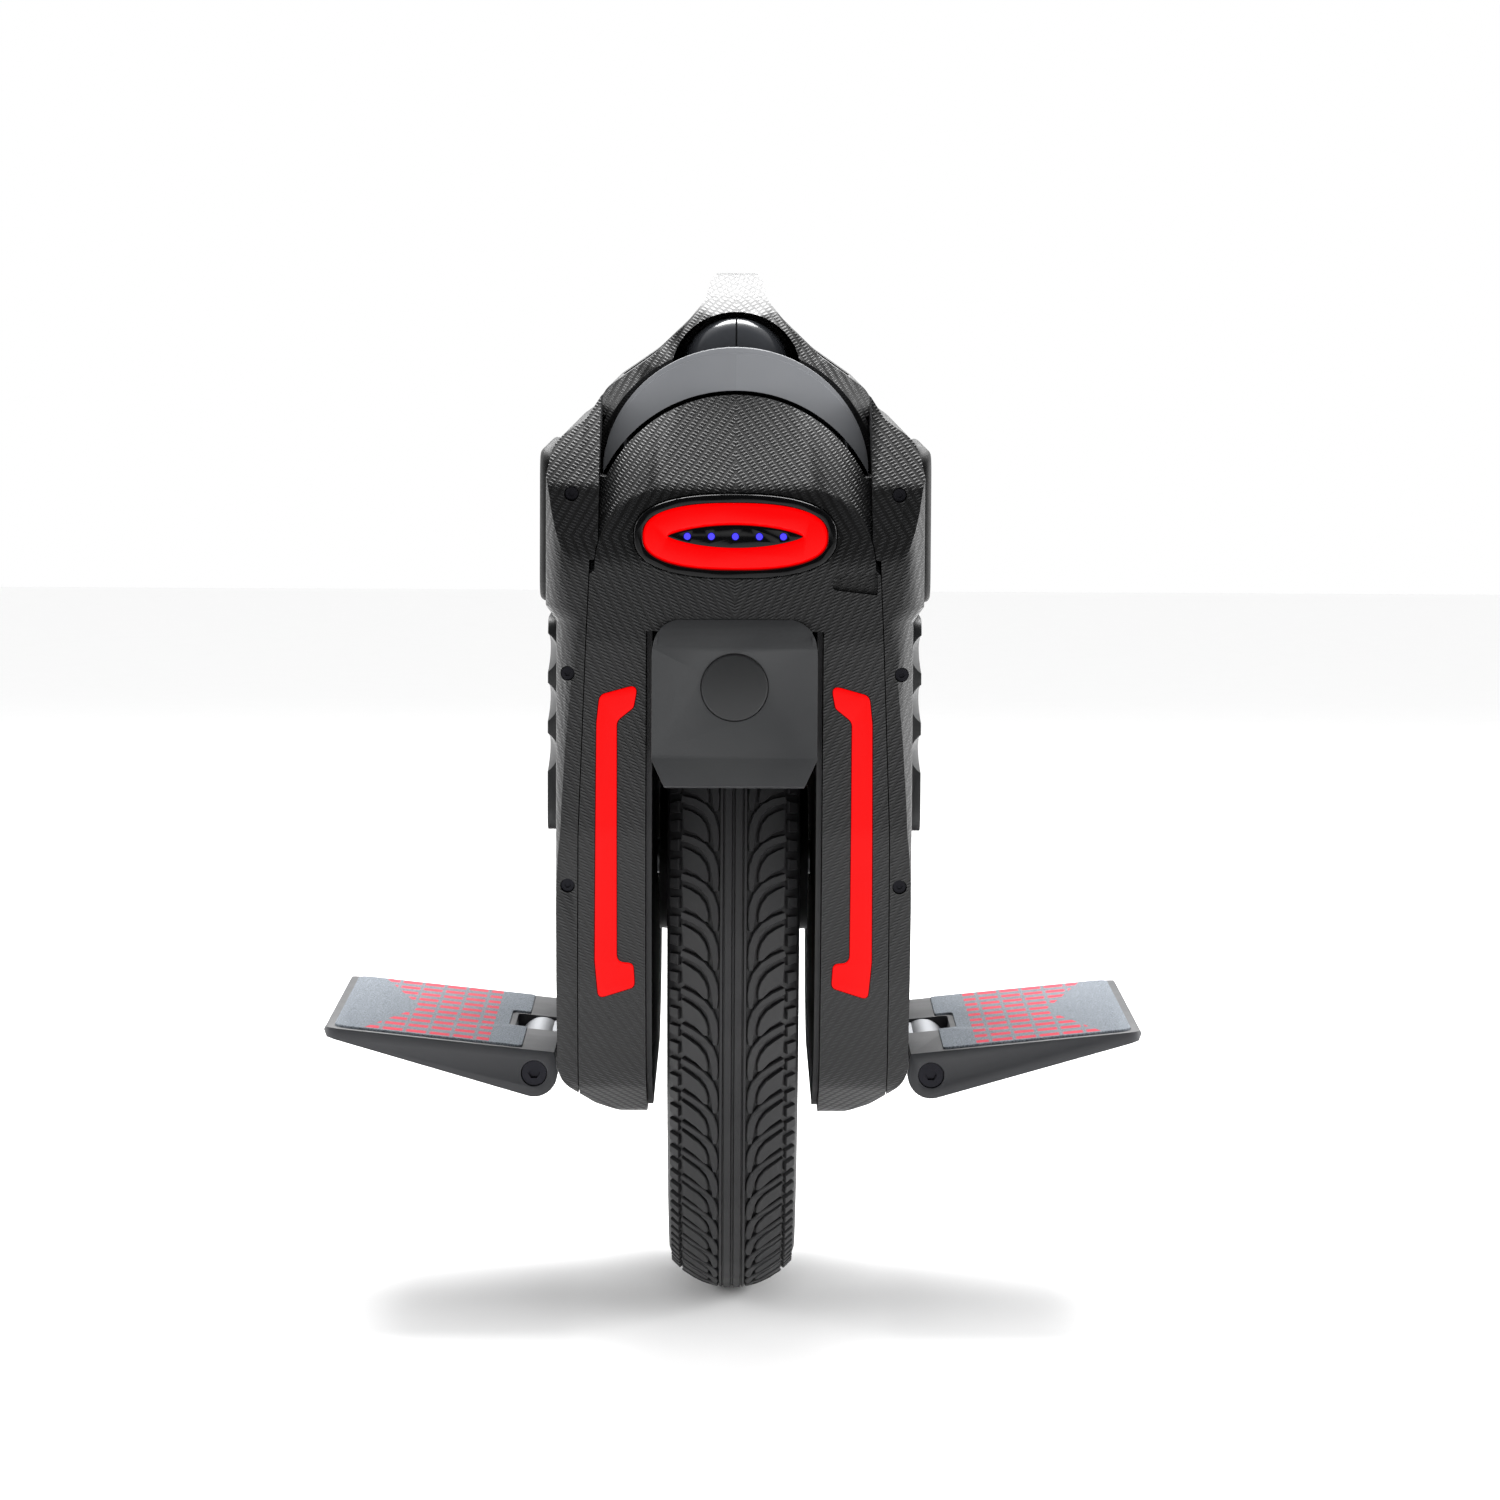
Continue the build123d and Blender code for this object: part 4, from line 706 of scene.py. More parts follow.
@dataclass
class Shell:
    """The moulded panels of the body: end covers, side shells and top cover."""
    form: Envelope = field(default_factory=Envelope)
    gap: float = 0.45
    collar_y: float = 137.0
    leg_split_y: float = 118.0
    leg_in: float = 41.2
    lamp_z: float = 389.0
    handle_half_l: float = 62.0
    handle_under_z: float = 482.0
    handle_floor_z: float = 458.0
    dome: tuple[float, float, float] = (30.6, 27.5, 464.0)
    screws: list[Point2] = field(default_factory=lambda: [(76.0, 408.0), (77.5, 325.0), (77.5, 225.0)])

    def build(self) -> None:
        """Make and dress every panel."""
        outer, inner = self.form.solid("outer_form", 0), self.form.solid("inner_form", self.form.skin)
        skin = duplicate(outer, "skin_form")
        combine(skin, inner, "DIFFERENCE", keep_tool=True)
        for end in End:
            self.end_cover(end, outer, inner)
        for side in Side:
            self.side_shell(side, outer, skin)
        self.top_cover(outer, skin)
        for form in (outer, inner, skin):
            bpy.data.objects.remove(form)

    def end_cover(self, end: End, outer: bpy.types.Object, inner: bpy.types.Object) -> None:
        """The rear or front cover: a barrel top, the lamp's face and two legs."""
        sign = end.value
        name = f"{end.name.lower()}_cover"
        cover = duplicate(outer, name + "_panel")
        combine(cover, self.form.barrel_prism("barrel", 0), "INTERSECT")
        hollow = duplicate(inner, "hollow")
        combine(hollow, self.form.barrel_prism("barrel", self.form.skin), "INTERSECT")
        combine(hollow, self.form.brow_form(end, self.form.skin), "INTERSECT")
        combine(cover, self.form.brow_form(end, 0), "INTERSECT")
        cut(cover, hollow)
        combine(cover, self.form.middle_prism("middle", -self.gap / 2), "INTERSECT")
        keep = block("keep", (-95, 95), tuple(sorted((sign * (self.leg_split_y + self.gap / 2), sign * 260))),
                     (90, 520))
        combine(cover, keep, "INTERSECT")
        collar = self.collar_y + 0.3
        cut(cover,
            block("collar", (-95, 95), tuple(sorted((sign * 100, sign * collar))), (250, 520)),
            block("well", (-self.leg_in, self.leg_in), tuple(sorted((sign * 60, sign * 260))), (80, 345)),
            plate("lamp_hole", oval(47.4, 19.9, 2.5, (0, self.lamp_z)), View.REAR, *sorted((sign * 200, sign * 245))))
        for side in Side:
            cut(cover, plate("strip_hole", draw_in(Lamps.strip_outline(side), -0.35), View.REAR,
                             *sorted((sign * 190, sign * 245))))
        if end is End.REAR:
            self.grip_recess(cover)
            notch = rounded([(44, 364.5), (66, 362), (66, 372.5), (47, 371)], [3, 1, 1, 4])
            cut(cover, plate("thumb_notch", notch, View.REAR, -232, -222.5))
        round_edges(cover, 0.5)
        shade(cover)
        dress(cover, TWILL)
        hand_over(cover, "root", "weave_plastic", name)

    def grip_recess(self, cover: bpy.types.Object) -> None:
        """Cut the seat of the trolley grip and give it its ledge."""
        radius, centre_z = TrolleyGrip().under_arc()
        radius -= 2.0
        base = self.form.grip_base
        start = math.degrees(math.asin((base - centre_z) / radius))

        def arc(reach: float) -> list[Point2]:
            """The seat's arc at one radius, from right to left."""
            return [(reach * math.cos(math.radians(a)), centre_z + reach * math.sin(math.radians(a)))
                    for a in [start + i * (180 - 2 * start) / 60 for i in range(61)]]

        cut(cover, plate("grip_seat", arc(radius)[::-1] + [(90, base), (90, 540), (-90, 540), (-90, base)],
                         View.REAR, -260, -136))
        ledge = plate("ledge", arc(radius) + arc(radius - self.form.skin)[::-1], View.REAR, -260, -137.3)
        combine(ledge, self.form.solid("limit", 0.12), "INTERSECT")
        combine(ledge, self.form.brow_form(End.REAR, 0.12), "INTERSECT")
        combine(cover, ledge, "UNION")
        for side in Side:
            cut(cover, round_rod("tube_hole", (side.value * 52, -153.65), 6.6, 395, 480))

    def side_shell(self, side: Side, outer: bpy.types.Object, skin: bpy.types.Object) -> None:
        """One flank with its bottom and the corners round to the seams."""
        sign = side.value
        name = f"side_shell_{side.name.lower()}"
        shell = duplicate(skin, name + "_panel")
        middle = self.form.middle_prism("middle", self.gap / 2)
        cut(middle, block("under", (-95, 95), (0.2 - self.leg_split_y, self.leg_split_y - 0.2), (90, 300)))
        cut(shell, middle)
        combine(shell, block("half", tuple(sorted((sign * self.leg_in, sign * 100))), (-245, 245), (90, 480)),
                "INTERSECT")
        for end in End:
            fill = duplicate(outer, "cheek")
            combine(fill, block("cheek_part", tuple(sorted((sign * 63.6, sign * 74))),
                                tuple(sorted((end.value * (self.collar_y + 0.3), end.value * 245))), (378, 470)),
                    "INTERSECT")
            if end is End.FRONT:
                shoulder = duplicate(outer, "shoulder")
                combine(shoulder, block("part", tuple(sorted((sign * 20, sign * 74))), (self.collar_y + 0.3, 245),
                                        (416, 500)), "INTERSECT")
                combine(fill, shoulder, "UNION")
            cut(fill, self.form.brow_form(end, -0.35))
            combine(shell, fill, "UNION")
        cut(shell, block("hanger_slot", tuple(sorted((sign * 62, sign * 120))), (-27, 27), (95, 150)))
        for end in End:
            for x, z in self.screws:
                cut(shell, plate("screw_hole", oval(3.4, 3.4, 2, (sign * x, z), 24), View.REAR,
                                 *sorted((end.value * 190, end.value * 240))))
        if side is Side.RIGHT:
            cut(shell, block("flap_hole", (80, 95), (-178.3, -147.7), (357.7, 386.3)))
        round_edges(shell, 0.5)
        shade(shell)
        dress(shell, TWILL)
        hand_over(shell, "root", "weave_plastic", name)

    def top_cover(self, outer: bpy.types.Object, skin: bpy.types.Object) -> None:
        """The top with its carry handle and the arch at its rear."""
        y = self.handle_half_l
        cover = duplicate(skin, "top_cover_panel")
        for x, span, z in (
                ((-90, 90), (-y, y), (self.handle_under_z, 511)),
                ((-90, 90), (-y, y), (self.handle_floor_z - 3, self.handle_floor_z)),
                ((-90, 90), (-y, 3 - y), (self.handle_floor_z - 3, 510)),
                ((-90, 90), (y - 3, y), (self.handle_floor_z - 3, 510)),
                ((-90, 90), (-self.collar_y, 3 - self.collar_y), (405, 520)),
                ((-90, 90), (-self.collar_y, -88), (442, 520))):
            fill = duplicate(outer, "fill")
            combine(fill, block("part", x, span, z), "INTERSECT")
            combine(cover, fill, "UNION")
        combine(cover, self.form.middle_prism("middle", -self.gap / 2), "INTERSECT")
        combine(cover, block("keep", (-95, 95), (-self.collar_y, self.collar_y), (405, 520)), "INTERSECT")
        cut(cover, block("below", (-95, 95), (3 - self.collar_y, self.collar_y + 1), (400, 442)))
        cut(cover, block("fingers", (-90, 90), (3 - y, y - 3), (self.handle_floor_z, self.handle_under_z)))
        tiers = []
        for y, grow in ((-145, -6), (-self.collar_y, 0.4), (-60, 70), (240, 71)):
            arch = [((self.form.barrel[0] + grow * 0.7) * math.cos(math.radians(a)),
                     self.form.grip_base + (self.form.barrel[1] + grow) * math.sin(math.radians(a)))
                    for a in range(0, 181, 4)]
            outline = arch + [(-140, 400), (-140, 60), (140, 60), (140, 400)]
            tiers.append([to_space(View.REAR, x, z, y) for x, z in outline])
        combine(cover, lofted("cone", tiers), "INTERSECT")
        half_w, half_h, base = self.dome
        arch = [(half_w * math.cos(math.radians(a)), base + half_h * math.sin(math.radians(a)))
                for a in range(0, 181, 6)]
        cut(cover, plate("dome_hole", arch, View.REAR, -150, -86))
        hole = round_rod("button_hole", (0, 0), 8.2, -15, 10)
        lean = math.atan2(23.5, 48)
        centre = Vector((0, 118, 499 - 16 * 23.5 / 48)) * MM
        hole.data.transform(Matrix.Translation(centre) @ Matrix.Rotation(-lean, 4, "X"))
        cut(cover, hole, round_rod("switch_hole", (0, 0), 6.1, self.handle_under_z - 1, self.handle_under_z + 7))
        round_edges(cover, 0.9, 3)
        shade(cover)
        dress(cover, TWILL)
        hand_over(cover, "root", "weave_plastic", "top_cover")


def round_rod(name: str, centre: Point2, radius: float, low: float, high: float) -> bpy.types.Object:
    """An upright round cutter at (x, y), between two heights, in millimetres."""
    return plate(name, oval(radius, radius, 2, centre, 40), View.TOP, low, high)


# ---- trolley grip and dome ---------------------------------------------------------
@dataclass
class TrolleyGrip:
    """The crescent that the trolley handle is pulled by."""
    half_w: float = 63.0
    base_z: float = 415.0
    top_z: float = 475.0
    under_z: float = 455.0
    front_y: float = -137.3
    rear_y: float = -170.0

    def under_arc(self) -> Point2:
        """Radius and centre height of the arc under the grip."""
        rise = self.under_z - self.base_z
        radius = (self.half_w ** 2 + rise ** 2) / (2 * rise)
        return radius, self.under_z - radius

    def build(self) -> None:
        """Make and dress the grip."""
        radius, centre_z = self.under_arc()
        rings = []
        for step in range(-24, 25):
            x = 0.994 * self.half_w * math.sin(math.radians(step * 90 / 24))
            under = centre_z + math.sqrt(radius ** 2 - x ** 2)
            top = self.base_z + (self.top_z - self.base_z) * math.sqrt(1 - (x / self.half_w) ** 2)
            line = top - min(2.6, (top - under) * 0.3)

            def rear(z: float) -> float:
                """How far back the leaning rear face stands at one height."""
                return self.rear_y + 0.12 * abs(x) + 0.3 * (z - under)

            rings.append([to_space(View.REAR, x, z, y) for y, z in (
                (self.front_y, under), (rear(under), under), (rear(line), line), (rear(line) + 0.5, line + 0.2),
                (rear(top) + 0.5, top), (self.front_y, top))])
        grip = lofted("trolley_grip_crescent", rings)
        for side in Side:
            cut(grip, round_rod("tube_hole", (side.value * 52, -153.65), 4.7, 400, 436))
        cut(grip, round_rod("button_hole", (0, -153.65), 6.4, 440, 464))
        round_edges(grip, 0.8, 3, 55)
        shade(grip, 9)
        # Grip colour: its own light grey, lightened further as painted light from above.
        dress(grip, GRIP_GREY_AND_PAINTED_LIGHT)
        hand_over(grip, "trolley_top", "satin_plastic", "trolley_grip")


@dataclass
class HandleDome:
    """The glossy arch under the rear end of the carry handle."""
    half_w: float = 26.0
    height: float = 24.6
    base_z: float = 464.0

    def build(self) -> None:
        """Make and dress the dome, with the seam down its middle."""
        tiers = []
        for y, scale in ((-131.0, 0.5), (-130.2, 0.66), (-128.4, 0.8), (-125.6, 0.91), (-121.5, 0.98), (-116, 1.0),
                         (-88, 1.0)):
            arch = [(scale * self.half_w * math.cos(math.radians(a)),
                     self.base_z + scale * self.height * math.sin(math.radians(a))) for a in range(0, 181, 5)]
            tiers.append([to_space(View.REAR, x, z, y) for x, z in arch])
        dome = lofted("handle_dome_arch", tiers)
        cut(dome, block("seam", (-0.4, 0.4), (-133, -118), (462, 492)))
        shade(dome)
        # Dark grey base colour: painted reflection standing in for the lights mirrored by the black gloss.
        dress(dome, GLOSS_BLACK_PAINTED_REFLECTION)
        hand_over(dome, "root", "gloss_black_plastic", "handle_dome")


# ---- lamps -------------------------------------------------------------------------
@dataclass
class Lamps:
    """The tail lamp, headlight surround and light strips."""
    centre_z: float = 389.0
    bezel: Point2 = (47.0, 19.5)
    ring: Point2 = (42.6, 15.2)
    window: Point2 = (31.5, 5.3)
    flat: float = 2.5

    @staticmethod
    def strip_outline(side: Side) -> list[Point2]:
        """One strip in rear view: a bar with a short hook inwards at each end."""
        corners = [(62.6, 315), (44.8, 320), (46.8, 309.3), (54.6, 303), (54.6, 188), (46.8, 187.5),
                   (46.2, 176), (63.3, 170.2), (64.9, 189), (64, 302)]
        points = rounded(corners, [4, 3, 3, 5, 5, 3, 3, 2.5, 20, 20], 5)
        return [(side.value * x, z) for x, z in points]

    def eye(self) -> list[Point2]:
        """The charge window: two shallow arcs that meet in points."""
        half_w, half_h = self.window
        count = 40
        upper = [(half_w * (1 - 2 * i / count), self.centre_z + half_h * (1 - (1 - 2 * i / count) ** 2) ** 0.8)
                 for i in range(count)]
        return upper + [(-x, 2 * self.centre_z - z) for x, z in upper]

    def build(self, form: Envelope) -> None:
        """Make and dress both lamps and all four strips."""
        for end, name in ((End.REAR, "tail_light_bezel"), (End.FRONT, "headlight_bezel")):
            self.surround(end, name)
        self.red_ring()
        self.charge_window()
        for end, name, finish, slot in ((End.REAR, "tail_strips", RED_GLOW, "red_diffuser"),
                                        (End.FRONT, "front_strips", WHITE_GLOW, "white_diffuser")):
            self.strips(end, name, finish, slot, form)

    def surround(self, end: End, name: str) -> None:
        """The glossy oval round one lamp."""
        sign = end.value
        piece = plate(name + "_ring", oval(*self.bezel, self.flat, (0, self.centre_z)), View.REAR,
                      *sorted((sign * 212, sign * 229.4)))
        cut(piece, plate("well", oval(self.ring[0] + 0.3, self.ring[1] + 0.3, self.flat, (0, self.centre_z)),
                         View.REAR, *sorted((sign * 216, sign * 240))))
        round_edges(piece, 1.2, 3)
        shade(piece)
        dress(piece, GLOSS)
        hand_over(piece, "root", "gloss_black_plastic", name)

    def red_ring(self) -> None:
        """The lit red diffuser, slightly domed."""
        ring = plate("tail_light_diffuser", oval(*self.ring, self.flat, (0, self.centre_z)), View.REAR, -228, -218)
        cut(ring, plate("eye_hole", draw_in(self.eye(), -0.5), View.REAR, -240, -222))
        round_edges(ring, 1.6, 3)
        shade(ring)
        dress(ring, RED_GLOW)
        hand_over(ring, "root", "red_diffuser", "tail_light_ring")

    def charge_window(self) -> None:
        """The dark window that the five charge lights sit in."""
        window = plate("charge_window_eye", self.eye(), View.REAR, -227.4, -220)
        for index in range(5):
            cut(window, plate("led_hole", oval(1.7, 1.7, 2, ((index - 2) * 11.1, self.centre_z), 20), View.REAR,
                              -229, -225))
        round_edges(window, 0.5, 2)
        shade(window)
        dress(window, GLOSS)
        hand_over(window, "root", "gloss_black_plastic", "charge_window")

    def strips(self, end: End, name: str, finish: Finish, slot: str, form: Envelope) -> None:
        """Both light strips of one end, following the cover's surface."""
        pair = None
        for side in Side:
            bar = plate("bar", self.strip_outline(side), View.REAR, *sorted((end.value * 195, end.value * 240)))
            combine(bar, form.prism("band", View.SIDE, -0.6, 95), "INTERSECT")
            cut(bar, form.prism("core", View.SIDE, 2.6, 95))
            if pair is None:
                pair = bar
            else:
                combine(pair, bar, "UNION")
        pair.name = name + "_bars"
        round_edges(pair, 0.8, 3)
        shade(pair)
        dress(pair, finish)
        hand_over(pair, "root", slot, name)


# ---- mudguards, bumpers and side grips ---------------------------------------------
@dataclass
class Mudguard:
    """The flap over the tyre below each lamp, with its kicked-out lip and round badge."""
    half_w: float = 38.3
    corner: float = 17.0
    badge_z: float = 319.6
    section: list[Point2] = field(default_factory=lambda: [
        (226.5, 350.5), (231, 346), (234, 338), (235, 287), (239.6, 274.2), (237.2, 273.2), (232, 286.5),
        (231, 337), (228.5, 342), (226.5, 344)])

    def build(self, end: End) -> None:
        """Make and dress one mudguard.

        Args:
            end: Which end of the body it belongs to.
        """
        sign = end.value
        name = f"{end.name.lower()}_mudguard"
        guard = plate(name + "_flap", [(sign * y, z) for y, z in self.section], View.SIDE, -self.half_w, self.half_w)
        for side in Side:
            flange = [(sign * y, z) for y, z in ((233.6, 343), (234.4, 287), (220, 287), (222, 343))]
            low, high = sorted((side.value * self.half_w, side.value * (self.half_w - 2.5)))
            combine(guard, plate("flange", flange, View.SIDE, low, high), "UNION")
        half = rounded([(self.half_w, 351), (self.half_w, 286), (31.5, 272), (0, 272), (0, 351)],
                       [self.corner, 3, 2, 0, 0], 10)
        half = [p for p in half if p[0] > 0.01]
        outline = plate("outline", both_sides(half), View.REAR, -260, 260)
        combine(guard, outline, "INTERSECT")
        cut(guard, plate("badge_seat", oval(15.8, 15.8, 2, (0, self.badge_z), 64), View.REAR,
                         *sorted((sign * 233.2, sign * 250))))
        round_edges(guard, 0.9, 3)
        shade(guard)
        dress(guard, GUARD_SATIN)
        hand_over(guard, "root", "satin_plastic", name)

    def badges(self) -> None:
        """The plain round badges of both mudguards."""
        pair = None
        for end in End:
            disc = plate("disc", oval(15.4, 15.4, 2, (0, self.badge_z), 64), View.REAR,
                         *sorted((end.value * 231, end.value * 235.6)))
            round_edges(disc, 0.8, 3)
            pair = disc if pair is None else combine(pair, disc, "UNION")
        pair.name = "mudguard_badge_discs"
        shade(pair)
        dress(pair, SATIN)
        hand_over(pair, "root", "satin_plastic", "mudguard_badges")


@dataclass
class FlankTrim:
    """The ribbed bumper and the rubber slab on each flank."""
    bumper_z: Point2 = (244.0, 346.0)
    scoops_z: tuple[float, ...] = (281.9, 305.9, 329.5)
    scoop_r: float = 11.0
    scoop_depth: float = 4.8
    scoop_length: float = 42.0

    def build(self, side: Side) -> None:
        """Make and dress one flank's trim.

        Args:
            side: Which flank.
        """
        sign, word = side.value, side.name.lower()
        low, high = self.bumper_z
        outline = rounded([(-150, low), (150, low), (150, high), (-150, high)], [12] * 4, 8)
        bumper = plate(f"side_bumper_{word}_pad", outline, View.SIDE, *sorted((sign * 83.05, sign * 89)))
        lean = math.atan2(self.scoop_depth, self.scoop_length)
        for end in End:
            for z in self.scoops_z:
                scoop = round_rod("scoop", (0, 0), self.scoop_r, -90, 90)
                turn = (Matrix.Rotation(side.value * end.value * lean, 4, "Z")
                        @ Matrix.Rotation(math.radians(90), 4, "X"))
                place = Vector((sign * (89 - self.scoop_depth + self.scoop_r), end.value * 150, z)) * MM
                scoop.data.transform(Matrix.Translation(place) @ turn)
                cut(bumper, scoop)
        round_edges(bumper, 1.0, 3)
        shade(bumper)
        dress(bumper, SATIN)
        hand_over(bumper, "root", "satin_plastic", f"side_bumper_{word}")
        outline = rounded([(-95, 350), (95, 350), (95, 425), (-95, 425)], [16] * 4, 8)
        pad = plate(f"side_grip_{word}_pad", outline, View.SIDE, *sorted((sign * 88.4, sign * 95)))
        round_edges(pad, 5.6, 6)
        for row in range(6):
            z = 360 + row * 11
            groove = plate("groove", [(sign * 94.2, z - 1.2), (sign * 96, z - 1.8), (sign * 96, z + 1.8),
                                      (sign * 94.2, z + 1.2)], View.REAR, -78, 78)
            cut(pad, groove)
        shade(pad)
        dress(pad, PAD)
        hand_over(pad, "root", "side_rubber", f"side_grip_{word}")


# ---- tyre --------------------------------------------------------------------------
@dataclass
class Tyre:
    """The road tyre: a carcass with a grooved centre rib, claw blocks and shoulder lugs."""
    axle_z: float = 216.5
    radius: float = 216.5
    crown: float = 39.9
    depth: float = 2.2
    pitches: int = 72
    lugs: int = 144
    claw: list[Point2] = field(default_factory=lambda: [
        (8.4, -12.5), (8.5, -7), (9.2, -1), (11.0, 4.2), (14.6, 8.4), (19.8, 11.2), (26.5, 13.0)])
    claw_w: tuple[float, ...] = (2.2, 3.6, 4.0, 4.0, 4.0, 3.9, 3.6)
    leaf: list[Point2] = field(default_factory=lambda: [
        (12.0, -8.4), (14.2, -8.3), (18.6, -4.6), (25.6, -1.9), (26.6, 8.4), (21.2, 6.9), (16.6, 4.4),
        (13.4, 0.4), (12.0, -4.0)])

    def skin_point(self, across: float, along: float, height: float) -> Point3:
        """Where a tread point lies.

        Args:
            across: Distance from the middle over the tread's curve, in millimetres.
            along: Distance round the tyre, in millimetres.
            height: Height above the tread's outer surface, in millimetres.

        Returns:
            The point in metres.
        """
        bend = across / self.crown
        x = (self.crown + height) * math.sin(bend)
        reach = self.radius - self.crown + (self.crown + height) * math.cos(bend)
        turn = along / self.radius
        return (x * MM, -reach * math.cos(turn) * MM, (self.axle_z + reach * math.sin(turn)) * MM)

    def section(self) -> list[Point2]:
        """The carcass in section as (x, radius), with the rib's three grooves."""
        tread = [(0, -1.3), (0.45, -1.3), (0.9, 0), (4.0, 0), (4.35, -0.9), (4.75, -0.9), (5.1, 0), (6.2, 0),
                 (6.8, -self.depth)]
        tread += [(t, -self.depth) for t in (10, 14, 18, 22, 26, 30)]
        right = []
        for across, height in tread:
            bend = across / self.crown
            right.append(((self.crown + height) * math.sin(bend),
                          self.radius - self.crown + (self.crown + height) * math.cos(bend)))
        right += [(29.4, 200.5), (31.0, 196), (31.2, 190), (30.6, 183), (28.2, 174.5), (23.5, 167), (18.6, 161.5),
                  (17, 159.5), (17, 151), (13, 151), (13, 162), (19, 167), (25, 176), (26, 184), (24, 194),
                  (17, 202), (8, 206.5)]
        return right + [(-x, r) for x, r in reversed(right[1:])] if right[0][0] == 0 else right

    def build(self) -> None:
        """Make and dress the whole tyre."""
        tyre = turned("tyre_carcass", self.section(), (0, 0, self.axle_z), 180)
        points: list[Point3] = []
        faces: list[list[int]] = []

        def add_block(outline: Sequence[Point2], shift: float, top: float) -> None:
            """Add one chamfered block, flat on the carcass."""
            inner = draw_in(outline, 0.45)
            rings = [(outline, -self.depth - 0.8), (outline, top - 0.5), (inner, top)]
            base, count = len(points), len(outline)
            for ring, height in rings:
                points.extend(self.skin_point(a, s + shift, height) for a, s in ring)
            faces.append([base + 2 * count + i for i in range(count)])
            faces.append([base + i for i in reversed(range(count))])
            for tier in (0, count):
                for i in range(count):
                    j = (i + 1) % count
                    faces.append([base + tier + i, base + tier + j, base + tier + count + j, base + tier + count + i])

        pitch = 2 * math.pi * self.radius / self.pitches
        claw = self.claw_outline()
        for index in range(self.pitches):
            for sign in (1, -1):
                add_block([(sign * a, s) for a, s in claw], index * pitch, 0)
                add_block([(sign * a, s) for a, s in self.leaf], index * pitch, -0.35)
        step = 2 * math.pi * self.radius / self.lugs
        lug = [(28.2, -2.9), (34.2, -2.6), (34.2, 2.6), (28.2, 2.9)]
        for index in range(self.lugs):
            for sign in (1, -1):
                add_block([(sign * a, s) for a, s in lug], index * step, -0.2)
        blocks = tidy_mesh(raw_mesh("tread_blocks", points, faces), 1e-7)
        activate(tyre)
        blocks.select_set(True)
        bpy.ops.object.join()
        tyre.name = "tyre_with_tread"
        shade(tyre, 32)
        dress(tyre, TYRE)
        hand_over(tyre, "wheel", "tyre_rubber", "tyre")

    def claw_outline(self) -> list[Point2]:
        """The claw block's outline round its centre line."""
        left, right = [], []
        for index, (point, width) in enumerate(zip(self.claw, self.claw_w)):
            before = Vector(self.claw[max(index - 1, 0)])
            after = Vector(self.claw[min(index + 1, len(self.claw) - 1)])
            along = (after - before).normalized()
            across = Vector((-along.y, along.x)) * width / 2
            left.append((point[0] + across.x, point[1] + across.y))
            right.append((point[0] - across.x, point[1] - across.y))
        return left + right[::-1]


